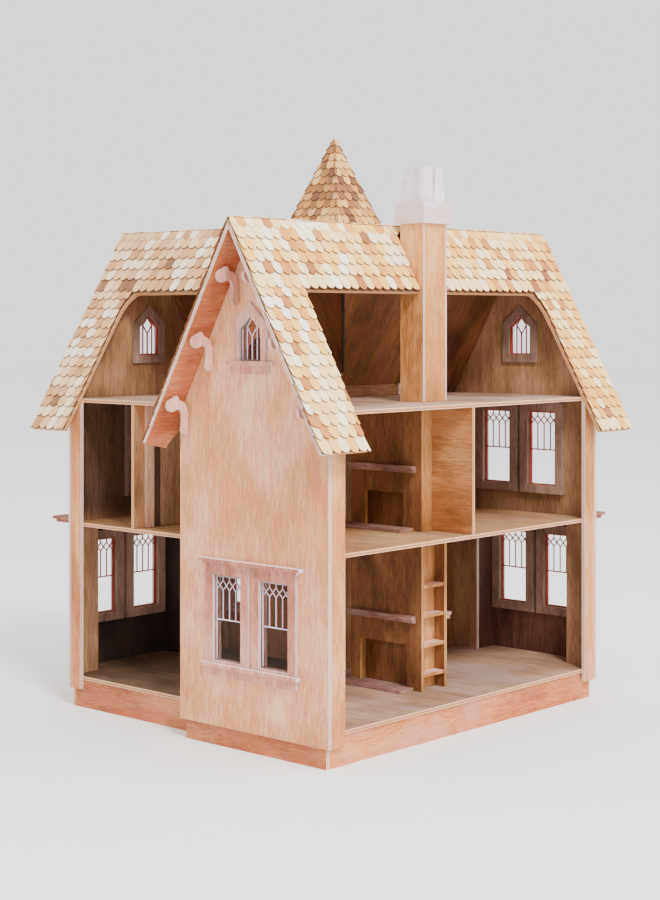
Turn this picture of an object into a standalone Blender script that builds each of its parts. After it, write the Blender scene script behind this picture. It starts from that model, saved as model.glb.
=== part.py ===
"""A wooden dollhouse kit of thin plywood boards: an L-shaped house with three gables, a
square corner tower with a spire, a chimney between back-to-back fireplaces, and open sides.

The plan is laid out in millimetres.  X runs along the main ridge from gable A to gable B, Y
runs across it towards gable C at the end of the wing, and Z is up from the ground.  Every
mesh is scaled to metres, and the empty "house_frame" moves the plan so that the world origin
is at the middle of the house's outline on the ground.
"""

import math

import bmesh
import bpy
from mathutils import Vector
from mathutils.geometry import tessellate_polygon

MM = 0.001
# ---- driving dimensions, in millimetres ------------------------------------------------

PLY = 3.2                 # thickness of every board
GAP = 0.3                 # play left between boards that touch

MAIN_LENGTH = 363.0       # outer face of gable A to outer face of gable B
GABLE_WIDTH = 165.0       # width of gables A and B
WING_WIDTH = 184.0        # width of gable C
WING_START = 17.0         # open side of the wing, from the outer face of gable A
WING_REACH = 164.0        # how far the wing stands out past the main block

BASE_HEIGHT = 24.0        # base boards under the lowest floor
BASE_BEHIND_FLOORS = 1.8  # base boards behind the floors' edges
WALL_OVERHANG = 7.4       # how far the walls hang down over the base
FLOOR_PLAY = 0.4          # floor edges behind the inner faces of the open sides' strips
LOWER_ROOMS = 133.1       # clear heights under the second and third floors
UPPER_ROOMS = 107.0

ROOF_RISE = 1.8           # rise of the roof for one unit across
EAVE_REACH = 16.8         # eaves past the wall faces
RAKE_REACH_A = 25.7       # roof past gable A
RAKE_REACH_BC = 31.2      # roof past gables B and C
SHINGLE = 1.2             # thickness of the shingle layer

CUT_DROP = 55.3           # height of the roof strip left along the ridges
CUT_A = 27.0              # roof strips left inside the gables' outer faces
CUT_B = 18.5
CUT_C = 14.5
CUT_CORNER = 14.0         # radius of the cut-outs' rounded corner
CUT_WING = 22.0           # near edge of the wing's cut-out, past the main block
VALLEY_BAND = 4.0         # edges this near a valley stay upright

STRIP_WIDTH_A = 15.4      # narrow wall strips beside the gables
STRIP_WIDTH_B = 15.0
STRIP_WIDTH_C = 12.8

SASH_WIDTH = 31.2         # clear opening of one window
SASH_STILE = 8.7          # width of a window frame's sides
SASH_SPACE = 3.3          # gap between the two frames of a pair
SASH_HEIGHT = 69.0        # clear height of one window
HEAD_RAIL = 8.0           # window frame above the opening
TRIM = 2.4                # thickness of window trim
PANE = 0.8                # thickness of the clear panes
SILL_ABOVE_A = 42.5       # lower edges of the window openings above their floors
SILL_ABOVE_BAY = 45.5
SILL_ABOVE_UPPER = 26.2
WINDOW_C_SHIFT = 5.0      # gable C's upper window and bay, off the wing's ridge line
SILL_RAIL = 2.0           # window frame under the openings
GROOVE_SKIN = 0.6         # trim left in the groove between the two frames of a pair
CROWN_REACH = 6.2         # window crown past the wall
CROWN_SIDE = 3.4          # ends of the crown's lower layer and of the sill past the frame
CROWN_STEP = 4.0          # its upper layer past the lower one
CROWN_LAYERS = (2.2, 2.8) # thickness of the two layers
SILL_REACH = 5.2
SILL_THICK = 3.0
APRON_HEIGHT = 7.5        # flat board under the sill
PANE_COVER = 4.0          # pane past the window openings

LANCET_WIDTH = 24.0       # pointed attic window
LANCET_SILL = 37.5        # its foot above the attic floor
LANCET_SIDE = 25.5        # its upright sides
LANCET_RISE = 10.7        # its point above them
LANCET_FRAME = 7.6        # width of its frame

BAY_WIDTH = 104.0         # clear width of the box bays
BAY_C_SHIFT = 8.5
BAY_LINTEL = 4.4          # gable wall left between a bay and the floor above it
BAY_DEPTH = 26.0          # gable's inner face to the bay's inner face
BAY_ROOF_SIDE = 13.0      # bay roof past the bay's sides
BAY_ROOF_B = 37.0         # bay roofs past the gables
BAY_ROOF_C = 42.0
BAY_ROOF_THICK = 5.6

TOWER_HALF = 44.0         # half the tower's width
TOWER_OVERLAP_X = 17.0    # tower's attic walls set back over the wing
TOWER_OVERLAP_Y = 9.0     # and over the main block
SPIRE_ABOVE_RIDGE = 87.0
SPIRE_SPREAD = 0.376      # half width of the spire for one unit of height
SPIRE_EAVE = 6.0          # spire's eave past the tower's walls
TOWER_LANCET_DROP = 52.0  # point of the tower's attic windows below its wall tops
DOOR_WIDTH = 38.0
DOOR_HEIGHT = 86.0
DOOR_THICK = 2.6
DOOR_PLAY = 0.5

CHIMNEY_X = 170.2         # chimney's near side, from gable A
CHIMNEY_FROM_RIDGE = 34.5 # its open-side face, from the ridge line
CHIMNEY_WIDTH = 34.3
STACK_INSET = 2.2         # attic stack's near side inside the breasts' near side
STACK_DEPTH = 25.2
STACK_ABOVE_RIDGE = 17.0
CAP_HEIGHT = 18.4
CAP_ABOVE_RIDGE = 0.4
POT_HEIGHT = 30.0
POT_TAPER = 3.4           # pots narrow by this on their outer sides
POT_SPLIT = 1.4           # and lean away from each other by these two amounts
POT_SPLIT_FAR = 3.8
BREAST_DEPTH = 79.5       # length of the chimney breasts
NICHE_DEPTH = 12.2
BOOKCASE_BACK = 1.2       # thickness of the bookcase's back panel
SHELF_THICK = 2.8
SHELF_FIRST = 14.7        # top of the lowest shelf above the floor
SHELF_PITCH = 25.2
SHELF_COUNT = 4
BREAST_SOLVER = "MANIFOLD"  # the exact solver leaves open edges when the chimney is widened
FIRES = ((16.4, 53.0, 38.5), (20.2, 43.4, 31.7))   # each level's set back, width and height
MANTEL_HEIGHTS = (64.0, 55.8)                      # mantel tops above each floor
MANTEL_REACH = 6.6
MANTEL_THICK = 2.9
MANTEL_STEP = 2.0         # lower layer behind the upper one
MANTEL_INSET = 6.0        # near mantels' open-side ends behind the breast's end
HEARTH_REACH = 18.5
HEARTH_THICK = 2.4
HEARTH_INSETS = (8.6, 2.5)                         # ends inside the breast's ends
PARTITION_SHIFT = 13.6    # main partition past the chimney's near side
PARTITION_WING = 81.0     # wing partition past the main block

BRACKET_THICK = 3.0
BRACKET_FIRST = 72.5      # outermost scroll bracket from the ridge line
BRACKET_PITCH = 29.0
BRACKET_COUNT = 3
BRACKET_PATH = ((-4.5, -28.0), (-4.4, -20.0), (-4.6, -14.0), (-9.0, -7.8), (-19.0, -8.0))
BRACKET_WIDTHS = (3.7, 2.6, 3.0, 3.3, 5.2)         # half widths at the path's points
BRACKET_NUB = (-14.5, 1.8)                         # place and radius of its top's small round

# ---- places worked out from them -------------------------------------------------------

MAIN_RIDGE_Y = GABLE_WIDTH / 2
WING_RIDGE_X = WING_START + WING_WIDTH / 2
WING_END = WING_START + WING_WIDTH
GABLE_C_Y = GABLE_WIDTH + WING_REACH
FLOOR_SET_BACK = PLY + FLOOR_PLAY
BASE_SET_BACK = FLOOR_SET_BACK + BASE_BEHIND_FLOORS
FLOOR_1 = BASE_HEIGHT + GAP + PLY
FLOOR_2 = FLOOR_1 + LOWER_ROOMS + PLY
FLOOR_3 = FLOOR_2 + UPPER_ROOMS + PLY
FLOOR_TOPS = (FLOOR_1, FLOOR_2, FLOOR_3)
WALL_FOOT = BASE_HEIGHT - WALL_OVERHANG
SILL_A = FLOOR_1 + SILL_ABOVE_A
SILL_BAY = FLOOR_1 + SILL_ABOVE_BAY
SILL_UPPER = FLOOR_2 + SILL_ABOVE_UPPER
LANCET_FOOT = FLOOR_3 + LANCET_SILL
LANCET_SHOULDER = LANCET_FOOT + LANCET_SIDE
LANCET_POINT = LANCET_SHOULDER + LANCET_RISE
BAY_TOP = FLOOR_2 - PLY - BAY_LINTEL

SLANT = math.hypot(1, ROOF_RISE)           # vertical thickness of a roof layer of one unit
BOARD_DEPTH = SHINGLE + GAP                # depth of the roof boards' tops in the roof
ROOF_DEPTH = BOARD_DEPTH + PLY
WALL_DEPTH = ROOF_DEPTH + GAP
RIDGE_HEIGHT = FLOOR_3 + GAP + ROOF_RISE * (MAIN_RIDGE_Y - FLOOR_SET_BACK) + ROOF_DEPTH * SLANT
# The wing's roof has the same ridge height and also meets the attic floor's edge.
WING_RUN = WING_WIDTH / 2 - FLOOR_SET_BACK
WING_FALL = RIDGE_HEIGHT - FLOOR_3 - GAP
WING_RISE = ((WING_FALL * WING_RUN - ROOF_DEPTH
              * math.sqrt(WING_RUN ** 2 + WING_FALL ** 2 - ROOF_DEPTH ** 2))
             / (WING_RUN ** 2 - ROOF_DEPTH ** 2))
WING_SLANT = math.hypot(1, WING_RISE)
BAY_C_X = WING_RIDGE_X - BAY_C_SHIFT
WINDOW_C_X = WING_RIDGE_X - WINDOW_C_SHIFT
PAIR_HALF = SASH_WIDTH + SASH_STILE * 2 + SASH_SPACE / 2

TOWER_X = WING_END - TOWER_OVERLAP_X + TOWER_HALF
TOWER_Y = GABLE_WIDTH - TOWER_OVERLAP_Y + TOWER_HALF
SPIRE_POINT = RIDGE_HEIGHT + SPIRE_ABOVE_RIDGE
TOWER_LEFT = TOWER_X - TOWER_HALF
TOWER_RIGHT = TOWER_X + TOWER_HALF
TOWER_BACK = TOWER_Y - TOWER_HALF
TOWER_FRONT = TOWER_Y + TOWER_HALF
SPIRE_LAYERS = (SHINGLE + GAP + PLY) * math.hypot(1, SPIRE_SPREAD)
TOWER_TOP = SPIRE_POINT - (TOWER_HALF + SPIRE_LAYERS + GAP) / SPIRE_SPREAD - GAP

CHIMNEY_Y = MAIN_RIDGE_Y - CHIMNEY_FROM_RIDGE
CHIMNEY_X2 = CHIMNEY_X + CHIMNEY_WIDTH
STACK_TOP = RIDGE_HEIGHT + STACK_ABOVE_RIDGE
CAP_FOOT = RIDGE_HEIGHT + CAP_ABOVE_RIDGE
PARTITION_X = CHIMNEY_X + PARTITION_SHIFT
PARTITION_Y = GABLE_WIDTH + PARTITION_WING
STACK_X = CHIMNEY_X + STACK_INSET
STACK_Y2 = CHIMNEY_Y + STACK_DEPTH
BREAST_Y2 = CHIMNEY_Y + BREAST_DEPTH
STORY_1 = (FLOOR_TOPS[0] + GAP, FLOOR_TOPS[1] - PLY - GAP)
STORY_2 = (FLOOR_TOPS[1] + GAP, FLOOR_TOPS[2] - PLY - GAP)

MIDDLE_X = (MAIN_LENGTH + BAY_ROOF_B - RAKE_REACH_A) / 2
MIDDLE_Y = (GABLE_C_Y + BAY_ROOF_C - EAVE_REACH) / 2

# ---- materials: colour and roughness ---------------------------------------------------

MATERIALS = {
    "pink_ply": ((0.80, 0.55, 0.42, 1.0), 0.72),
    "brown_ply": ((0.56, 0.38, 0.25, 1.0), 0.74),
    "floor_ply": ((0.68, 0.56, 0.42, 1.0), 0.70),
    "base_ply": ((0.76, 0.50, 0.36, 1.0), 0.72),
    "trim_wood": ((0.86, 0.72, 0.68, 1.0), 0.66),
    "shingle_wood": ((0.86, 0.68, 0.44, 1.0), 0.80),
    "white_wood": ((0.88, 0.84, 0.86, 1.0), 0.65),
    "clear_sheet": ((0.92, 0.94, 0.95, 1.0), 0.08),
}


def clear_scene():
    for item in list(bpy.data.objects):
        bpy.data.objects.remove(item, do_unlink=True)


def material(name):
    found = bpy.data.materials.get(name)
    if found:
        return found
    colour, roughness = MATERIALS[name]
    made = bpy.data.materials.new(name)
    made.use_nodes = True
    shader = made.node_tree.nodes["Principled BSDF"]
    shader.inputs["Base Color"].default_value = colour
    shader.inputs["Roughness"].default_value = roughness
    shader.inputs["Metallic"].default_value = 0.0
    return made


# ---- builders ---------------------------------------------------------------------------

def add_object(name, verts, faces, finish, pivot=(0.0, 0.0, 0.0)):
    """One object under the house's frame, with its origin at the pivot."""
    mesh = bpy.data.meshes.new(name)
    mesh.from_pydata([(Vector(v) - Vector(pivot)) * MM for v in verts], [], faces)
    work = bmesh.new()
    work.from_mesh(mesh)
    bmesh.ops.recalc_face_normals(work, faces=work.faces)
    work.to_mesh(mesh)
    work.free()
    mesh.materials.append(material(finish))
    made = bpy.data.objects.new(name, mesh)
    bpy.context.collection.objects.link(made)
    made.parent = bpy.data.objects["house_frame"]
    made.location = Vector(pivot) * MM
    return made


def prism(name, loops, place, finish, pivot=(0.0, 0.0, 0.0)):
    """A board from a flat outline with holes; place(u, v, end) puts each end's points."""
    flat = [point for loop in loops for point in loop]
    count = len(flat)
    verts = [place(u, v, 0) for u, v in flat] + [place(u, v, 1) for u, v in flat]
    faces = []
    for a, b, c in tessellate_polygon([[Vector((u, v, 0)) for u, v in loop] for loop in loops]):
        faces.append((a, b, c))
        faces.append((c + count, b + count, a + count))
    start = 0
    for loop in loops:
        size = len(loop)
        for i in range(size):
            a = start + i
            b = start + (i + 1) % size
            faces.append((a, b, b + count, a + count))
        start += size
    return add_object(name, verts, faces, finish, pivot)


def across_x(name, loops, x0, x1, finish):
    """A board square to X, from an outline in Y and Z."""
    return prism(name, loops, lambda u, v, end: ((x0, x1)[end], u, v), finish)


def across_y(name, loops, y0, y1, finish):
    """A board square to Y, from an outline in X and Z."""
    return prism(name, loops, lambda u, v, end: (u, (y0, y1)[end], v), finish)


def across_z(name, loops, z0, z1, finish):
    """A board square to Z, from an outline in X and Y."""
    return prism(name, loops, lambda u, v, end: (u, v, (z0, z1)[end]), finish)


def rect(u0, u1, v0, v1):
    return [(u0, v0), (u1, v0), (u1, v1), (u0, v1)]


def block(name, x0, x1, y0, y1, z0, z1, finish):
    return across_z(name, [rect(x0, x1, y0, y1)], z0, z1, finish)


def arc(cx, cy, radius, start, end, steps):
    """Points on an arc, with its angles in degrees."""
    points = []
    for i in range(steps + 1):
        angle = math.radians(start + (end - start) * i / steps)
        points.append((cx + radius * math.cos(angle), cy + radius * math.sin(angle)))
    return points


def boolean(target, operation, tool, solver="EXACT"):
    """Cut or join with a tool object that is itself left out of the model."""
    tool.hide_render = True
    tool.display_type = "WIRE"
    step = target.modifiers.new(tool.name, "BOOLEAN")
    step.operation = operation
    step.solver = solver
    step.object = tool


# ---- heights of the roof ----------------------------------------------------------------

def main_slope(y, depth):
    """Height of the surface that lies this deep in the main roof."""
    return RIDGE_HEIGHT - depth * SLANT - ROOF_RISE * abs(y - MAIN_RIDGE_Y)


def wing_slope(x, depth):
    return RIDGE_HEIGHT - depth * WING_SLANT - WING_RISE * abs(x - WING_RIDGE_X)


def under_main(y):
    """Height that walls may reach under the main roof."""
    return main_slope(y, WALL_DEPTH)


def under_wing(x):
    return wing_slope(x, WALL_DEPTH)


# ---- windows ----------------------------------------------------------------------------

def sash_hole(centre, foot):
    half = SASH_WIDTH / 2 + 1.0
    return rect(centre - half, centre + half, foot - 1.0, foot + SASH_HEIGHT + 1.0)


def sash_centres(centre):
    """The two windows of a pair."""
    offset = SASH_WIDTH / 2 + SASH_STILE + SASH_SPACE / 2
    return (centre - offset, centre + offset)


def pair_holes(centre, foot):
    return [sash_hole(place, foot) for place in sash_centres(centre)]


def lancet(centre, grow, foot_grow, lift=0.0):
    """The pointed window's outline, grown outwards."""
    half = LANCET_WIDTH / 2 + grow
    lean = math.hypot(LANCET_WIDTH / 2, LANCET_POINT - LANCET_SHOULDER) / (LANCET_WIDTH / 2)
    rise = (LANCET_POINT - LANCET_SHOULDER) / (LANCET_WIDTH / 2)
    point = LANCET_POINT + grow * lean + lift
    shoulder = point - half * rise
    foot = LANCET_FOOT - foot_grow + lift
    return [(centre - half, foot), (centre + half, foot), (centre + half, shoulder),
            (centre, point), (centre - half, shoulder)]


# ---- base and floors --------------------------------------------------------------------

def build_base():
    inner = PLY + GAP
    y_open = BASE_SET_BACK
    x_open = WING_START + FLOOR_SET_BACK
    y_back = GABLE_WIDTH - inner
    x_back = WING_END - inner
    y_end = GABLE_C_Y - inner
    x_end = MAIN_LENGTH - inner
    block("base_board_gable_a", inner, inner + PLY, y_open, y_back, 0, BASE_HEIGHT, "base_ply")
    block("base_board_open_side", inner + PLY + GAP, x_end - PLY - GAP, y_open, y_open + PLY,
          0, BASE_HEIGHT, "base_ply")
    corner = [(inner + PLY + GAP, y_back - PLY), (x_open + PLY, y_back - PLY),
              (x_open + PLY, y_end - PLY - GAP), (x_open, y_end - PLY - GAP),
              (x_open, y_back), (inner + PLY + GAP, y_back)]
    across_z("base_board_wing_side", [corner], 0, BASE_HEIGHT, "base_ply")
    back = [(x_end - PLY, y_open), (x_end, y_open), (x_end, y_back), (x_back, y_back),
            (x_back, y_end), (x_open, y_end), (x_open, y_end - PLY), (x_back - PLY, y_end - PLY),
            (x_back - PLY, y_back - PLY), (x_end - PLY, y_back - PLY)]
    across_z("base_boards_back", [back], 0, BASE_HEIGHT, "base_ply")


def build_tower_base():
    x0 = WING_END + GAP
    x1 = TOWER_RIGHT - PLY - GAP
    y0 = GABLE_WIDTH + GAP
    y1 = TOWER_FRONT - PLY - GAP
    base = block("tower_base", x0, x1, y0, y1, 0, FLOOR_TOPS[0], "base_ply")
    hollow = block("cut_tower_base", x0 + PLY, x1 - PLY, y0 + PLY, y1 - PLY,
                   -PLY, FLOOR_TOPS[0] - PLY, "base_ply")
    boolean(base, "DIFFERENCE", hollow)


def build_floors():
    x0 = PLY + GAP
    x1 = MAIN_LENGTH - PLY - GAP
    wing_x0 = WING_START + FLOOR_SET_BACK
    wing_x1 = WING_END - PLY - GAP
    y1 = GABLE_WIDTH - PLY - GAP
    wing_y1 = GABLE_C_Y - PLY - GAP
    bay_half = BAY_WIDTH / 2 - GAP
    main = MAIN_RIDGE_Y
    wing = BAY_C_X
    start = [(x0, FLOOR_SET_BACK), (x1, FLOOR_SET_BACK)]
    bay_b = [(x1, main - bay_half), (x1 + BAY_DEPTH, main - bay_half),
             (x1 + BAY_DEPTH, main + bay_half), (x1, main + bay_half)]
    back = [(x1, y1), (wing_x1, y1), (wing_x1, wing_y1)]
    bay_c = [(wing + bay_half, wing_y1), (wing + bay_half, wing_y1 + BAY_DEPTH),
             (wing - bay_half, wing_y1 + BAY_DEPTH), (wing - bay_half, wing_y1)]
    rest = [(wing_x0, wing_y1), (wing_x0, y1), (x0, y1)]
    for i, top in enumerate(FLOOR_TOPS):
        outline = start + bay_b + back + bay_c + rest if i == 0 else start + back + rest
        across_z("floor_%d" % (i + 1), [outline], top - PLY, top, "floor_ply")


# ---- walls ------------------------------------------------------------------------------

def gable_outline(centre, half, under):
    """A gable wall up to the underside of its roof, which under(place) gives."""
    eave = under(centre + half)
    return [(centre - half, WALL_FOOT), (centre + half, WALL_FOOT), (centre + half, eave),
            (centre, under(centre)), (centre - half, eave)]


def bay_hole(centre):
    foot = FLOOR_TOPS[0] - PLY - GAP
    return rect(centre - BAY_WIDTH / 2, centre + BAY_WIDTH / 2, foot, BAY_TOP)


def build_gables():
    main = MAIN_RIDGE_Y
    wing = WING_RIDGE_X
    point_a = lancet(main, 1.0, 1.0)
    outline = gable_outline(main, GABLE_WIDTH / 2, under_main)
    across_x("gable_a", [outline, point_a] + pair_holes(main, SILL_A), 0, PLY, "pink_ply")
    across_x("gable_b", [outline, point_a, bay_hole(main)] + pair_holes(main, SILL_UPPER),
             MAIN_LENGTH - PLY, MAIN_LENGTH, "brown_ply")
    outline = gable_outline(wing, WING_WIDTH / 2, under_wing)
    across_y("gable_c", [outline, lancet(wing, 1.0, 1.0), bay_hole(BAY_C_X),
                         sash_hole(WINDOW_C_X, SILL_UPPER)],
             GABLE_C_Y - PLY, GABLE_C_Y, "brown_ply")


def under_roof_x(name, loops, x0, x1, finish):
    """A wall square to X whose top follows the underside of the wing's roof."""
    def place(u, v, end):
        x = (x0, x1)[end]
        return (x, u, min(v, under_wing(x)))
    return prism(name, loops, place, finish)


def under_roof_y(name, loops, y0, y1, finish):
    """A wall square to Y whose top follows the underside of the main roof."""
    def place(u, v, end):
        y = (y0, y1)[end]
        return (u, y, min(v, under_main(y)))
    return prism(name, loops, place, finish)


def build_side_walls():
    top = RIDGE_HEIGHT
    inner = PLY + GAP
    x0 = WING_END + GAP
    x1 = MAIN_LENGTH - inner
    door = rect(TOWER_X - DOOR_WIDTH / 2, TOWER_X + DOOR_WIDTH / 2, FLOOR_TOPS[0],
                FLOOR_TOPS[0] + DOOR_HEIGHT)
    facade = (TOWER_RIGHT + MAIN_LENGTH) / 2
    wing_side = (TOWER_FRONT + GABLE_C_Y) / 2
    under_roof_y("facade_wall_main", [rect(x0, x1, WALL_FOOT, top), door]
                 + [sash_hole(facade, foot) for foot in (SILL_BAY, SILL_UPPER)],
                 GABLE_WIDTH - PLY, GABLE_WIDTH, "pink_ply")
    under_roof_x("facade_wall_wing", [rect(GABLE_WIDTH - PLY, GABLE_C_Y - inner, WALL_FOOT, top)]
                 + [sash_hole(wing_side, foot) for foot in (SILL_BAY, SILL_UPPER)],
                 WING_END - PLY, WING_END, "pink_ply")
    under_roof_y("return_wall", [rect(inner, WING_START + PLY, WALL_FOOT, top)],
                 GABLE_WIDTH - PLY, GABLE_WIDTH, "brown_ply")
    under_roof_y("wall_strip_a", [rect(inner, inner + STRIP_WIDTH_A, WALL_FOOT, top)],
                 0, PLY, "pink_ply")
    under_roof_y("wall_strip_b", [rect(x1 - STRIP_WIDTH_B, x1, WALL_FOOT, top)],
                 0, PLY, "pink_ply")
    end = GABLE_C_Y - inner
    under_roof_x("wall_strip_c", [rect(end - STRIP_WIDTH_C, end, WALL_FOOT, top)],
                 WING_START, WING_START + PLY, "pink_ply")


# ---- box bays ---------------------------------------------------------------------------

def build_bay(letter, centre, wall, roof_reach, finish, turn):
    """A box bay on a gable; turn(along, across, z) puts its points on X and Y."""
    half = BAY_WIDTH / 2
    start = wall + GAP
    front = wall - PLY + BAY_DEPTH
    band = [(start, centre - half - PLY), (front + PLY, centre - half - PLY),
            (front + PLY, centre + half + PLY), (start, centre + half + PLY),
            (start, centre + half), (front, centre + half), (front, centre - half),
            (start, centre - half)]
    top = BAY_TOP + PLY - GAP
    walls = prism("bay_%s_walls" % letter, [band],
                  lambda u, v, end: turn(u, v, (WALL_FOOT, top)[end]), finish)
    cutters = []
    for i, hole in enumerate(pair_holes(centre, SILL_BAY)):
        cutters.append(prism("cut_bay_%s_%d" % (letter, i), [hole],
                             lambda u, v, end: turn((front - PLY, front + 2 * PLY)[end], u, v),
                             finish))
    for cutter in cutters:
        boolean(walls, "DIFFERENCE", cutter)
    side = half + PLY + BAY_ROOF_SIDE
    roof = rect(start, wall + roof_reach, centre - side, centre + side)
    prism("bay_%s_roof" % letter, [roof],
          lambda u, v, end: turn(u, v, (top + GAP, top + GAP + BAY_ROOF_THICK)[end]), "trim_wood")


def build_bays():
    build_bay("b", MAIN_RIDGE_Y, MAIN_LENGTH, BAY_ROOF_B, "brown_ply",
              lambda along, across, z: (along, across, z))
    build_bay("c", BAY_C_X, GABLE_C_Y, BAY_ROOF_C, "brown_ply",
              lambda along, across, z: (across, along, z))


# ---- tower ------------------------------------------------------------------------------

def shell_pyramid(name, point, layer_in, layer_out, foot, finish):
    """A square spire of one layer, open below; layers are counted inwards from the outside."""
    lean = math.hypot(1, SPIRE_SPREAD)
    verts = []
    for depth in (layer_in * lean, layer_out * lean):
        half = (point - foot) * SPIRE_SPREAD - depth
        for sx, sy in ((-1, -1), (1, -1), (1, 1), (-1, 1)):
            verts.append((TOWER_X + sx * half, TOWER_Y + sy * half, foot))
        verts.append((TOWER_X, TOWER_Y, point - depth / SPIRE_SPREAD))
    faces = []
    for i in range(4):
        j = (i + 1) % 4
        faces.append((i, j, 4))
        faces.append((5 + j, 5 + i, 9))
        faces.append((j, i, 5 + i, 5 + j))
    add_object(name, verts, faces, finish)


def build_tower():
    floor = FLOOR_TOPS[2] + GAP
    low_x = WING_END + GAP
    low_y = GABLE_WIDTH + GAP
    right = TOWER_RIGHT - PLY - GAP
    front = TOWER_FRONT - PLY - GAP
    raise_lancet = TOWER_TOP - TOWER_LANCET_DROP - LANCET_POINT
    door = rect(TOWER_X - DOOR_WIDTH / 2, TOWER_X + DOOR_WIDTH / 2, FLOOR_TOPS[0],
                FLOOR_TOPS[0] + DOOR_HEIGHT)
    outline = [(low_x, WALL_FOOT), (right, WALL_FOOT), (right, TOWER_TOP),
               (TOWER_LEFT, TOWER_TOP), (TOWER_LEFT, floor), (low_x, floor)]
    across_y("tower_wall_front", [outline, door, sash_hole(TOWER_X, SILL_UPPER),
                                  lancet(TOWER_X, 1.0, 1.0, raise_lancet)],
             TOWER_FRONT - PLY, TOWER_FRONT, "pink_ply")
    outline = [(low_y, WALL_FOOT), (TOWER_FRONT, WALL_FOOT), (TOWER_FRONT, TOWER_TOP),
               (TOWER_BACK, TOWER_TOP), (TOWER_BACK, floor), (low_y, floor)]
    across_x("tower_wall_side", [outline, sash_hole(TOWER_Y, SILL_BAY),
                                 sash_hole(TOWER_Y, SILL_UPPER),
                                 lancet(TOWER_Y, 1.0, 1.0, raise_lancet)],
             TOWER_RIGHT - PLY, TOWER_RIGHT, "pink_ply")
    inner = [(TOWER_LEFT, TOWER_BACK), (right, TOWER_BACK), (right, TOWER_BACK + PLY),
             (TOWER_LEFT + PLY, TOWER_BACK + PLY), (TOWER_LEFT + PLY, front), (TOWER_LEFT, front)]
    across_z("tower_wall_inner", [inner], floor, TOWER_TOP, "brown_ply")
    foot = SPIRE_POINT - (TOWER_HALF + SPIRE_EAVE) / SPIRE_SPREAD
    shell_pyramid("spire_shingles", SPIRE_POINT, 0.0, SHINGLE, foot, "shingle_wood")
    shell_pyramid("spire_boards", SPIRE_POINT, SHINGLE + GAP, SHINGLE + GAP + PLY, foot,
                  "brown_ply")


def build_door():
    x0 = TOWER_X - DOOR_WIDTH / 2 + DOOR_PLAY
    x1 = TOWER_X + DOOR_WIDTH / 2 - DOOR_PLAY
    z0 = FLOOR_TOPS[0] + DOOR_PLAY
    z1 = FLOOR_TOPS[0] + DOOR_HEIGHT - DOOR_PLAY
    ends = (TOWER_FRONT - DOOR_THICK, TOWER_FRONT)
    prism("front_door", [rect(x0, x1, z0, z1)], lambda u, v, end: (u, ends[end], v),
          "trim_wood", pivot=(x0, TOWER_FRONT, z0))


# ---- roof -------------------------------------------------------------------------------

def roof_plans(ridge_gap):
    """Plan outlines of the five roof slopes, with cut-outs, valleys and notches."""
    left = -RAKE_REACH_A
    right = MAIN_LENGTH + RAKE_REACH_BC
    end = GABLE_C_Y + RAKE_REACH_BC
    ridge_y = MAIN_RIDGE_Y
    ridge_x = WING_RIDGE_X
    low_y = -EAVE_REACH
    far_y = GABLE_WIDTH + EAVE_REACH
    low_x = WING_START - EAVE_REACH
    far_x = WING_END + EAVE_REACH
    cut_y = ridge_y - CUT_DROP / ROOF_RISE
    cut_x = ridge_x - CUT_DROP / WING_RISE
    cut_b = MAIN_LENGTH - CUT_B
    cut_c = GABLE_C_Y - CUT_C
    cut_start = GABLE_WIDTH + CUT_WING
    half = ridge_gap / 2
    valley = GAP * 0.75
    r = CUT_CORNER
    x0 = STACK_X - GAP
    x1 = CHIMNEY_X2 + GAP
    y1 = STACK_Y2 + GAP
    turn = WING_RISE / ROOF_RISE          # slope of the valleys in the plan
    low_valley = ridge_y + (ridge_x - low_x) * turn
    main_open = [(left, low_y), (CUT_A, low_y), (CUT_A, cut_y), (x0, cut_y), (x0, y1),
                 (x1, y1), (x1, cut_y)]
    main_open += arc(cut_b - r, cut_y - r, r, 90, 0, 5)
    main_open += [(cut_b, low_y), (right, low_y), (right, ridge_y - half),
                  (left, ridge_y - half)]
    main_near = [(left, ridge_y + half), (ridge_x - 2 * valley, ridge_y + half),
                 (low_x - valley, low_valley), (low_x - valley, far_y), (left, far_y)]
    notch_y = TOWER_BACK - GAP
    notch_x = TOWER_LEFT - GAP
    valley_y = ridge_y + (notch_x - ridge_x) * turn
    main_far = [(ridge_x + 2 * valley, ridge_y + half), (right, ridge_y + half), (right, far_y),
                (TOWER_RIGHT + GAP, far_y), (TOWER_RIGHT + GAP, notch_y), (notch_x, notch_y),
                (notch_x, valley_y - valley)]
    wing_open = [(ridge_x - half, ridge_y + 4 * valley), (ridge_x - half, end), (low_x, end),
                 (low_x, cut_c)]
    wing_open += arc(cut_x - r, cut_c - r, r, 90, 0, 5)
    wing_open += [(cut_x, cut_start), (low_x, cut_start), (low_x, low_valley + valley)]
    wing_far = [(ridge_x + half, ridge_y + 4 * valley), (notch_x, valley_y + valley),
                (notch_x, TOWER_FRONT + GAP), (far_x, TOWER_FRONT + GAP), (far_x, end),
                (ridge_x + half, end)]
    return {"main_open": main_open, "main_near": main_near, "main_far": main_far,
            "wing_open": wing_open, "wing_far": wing_far}


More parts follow.
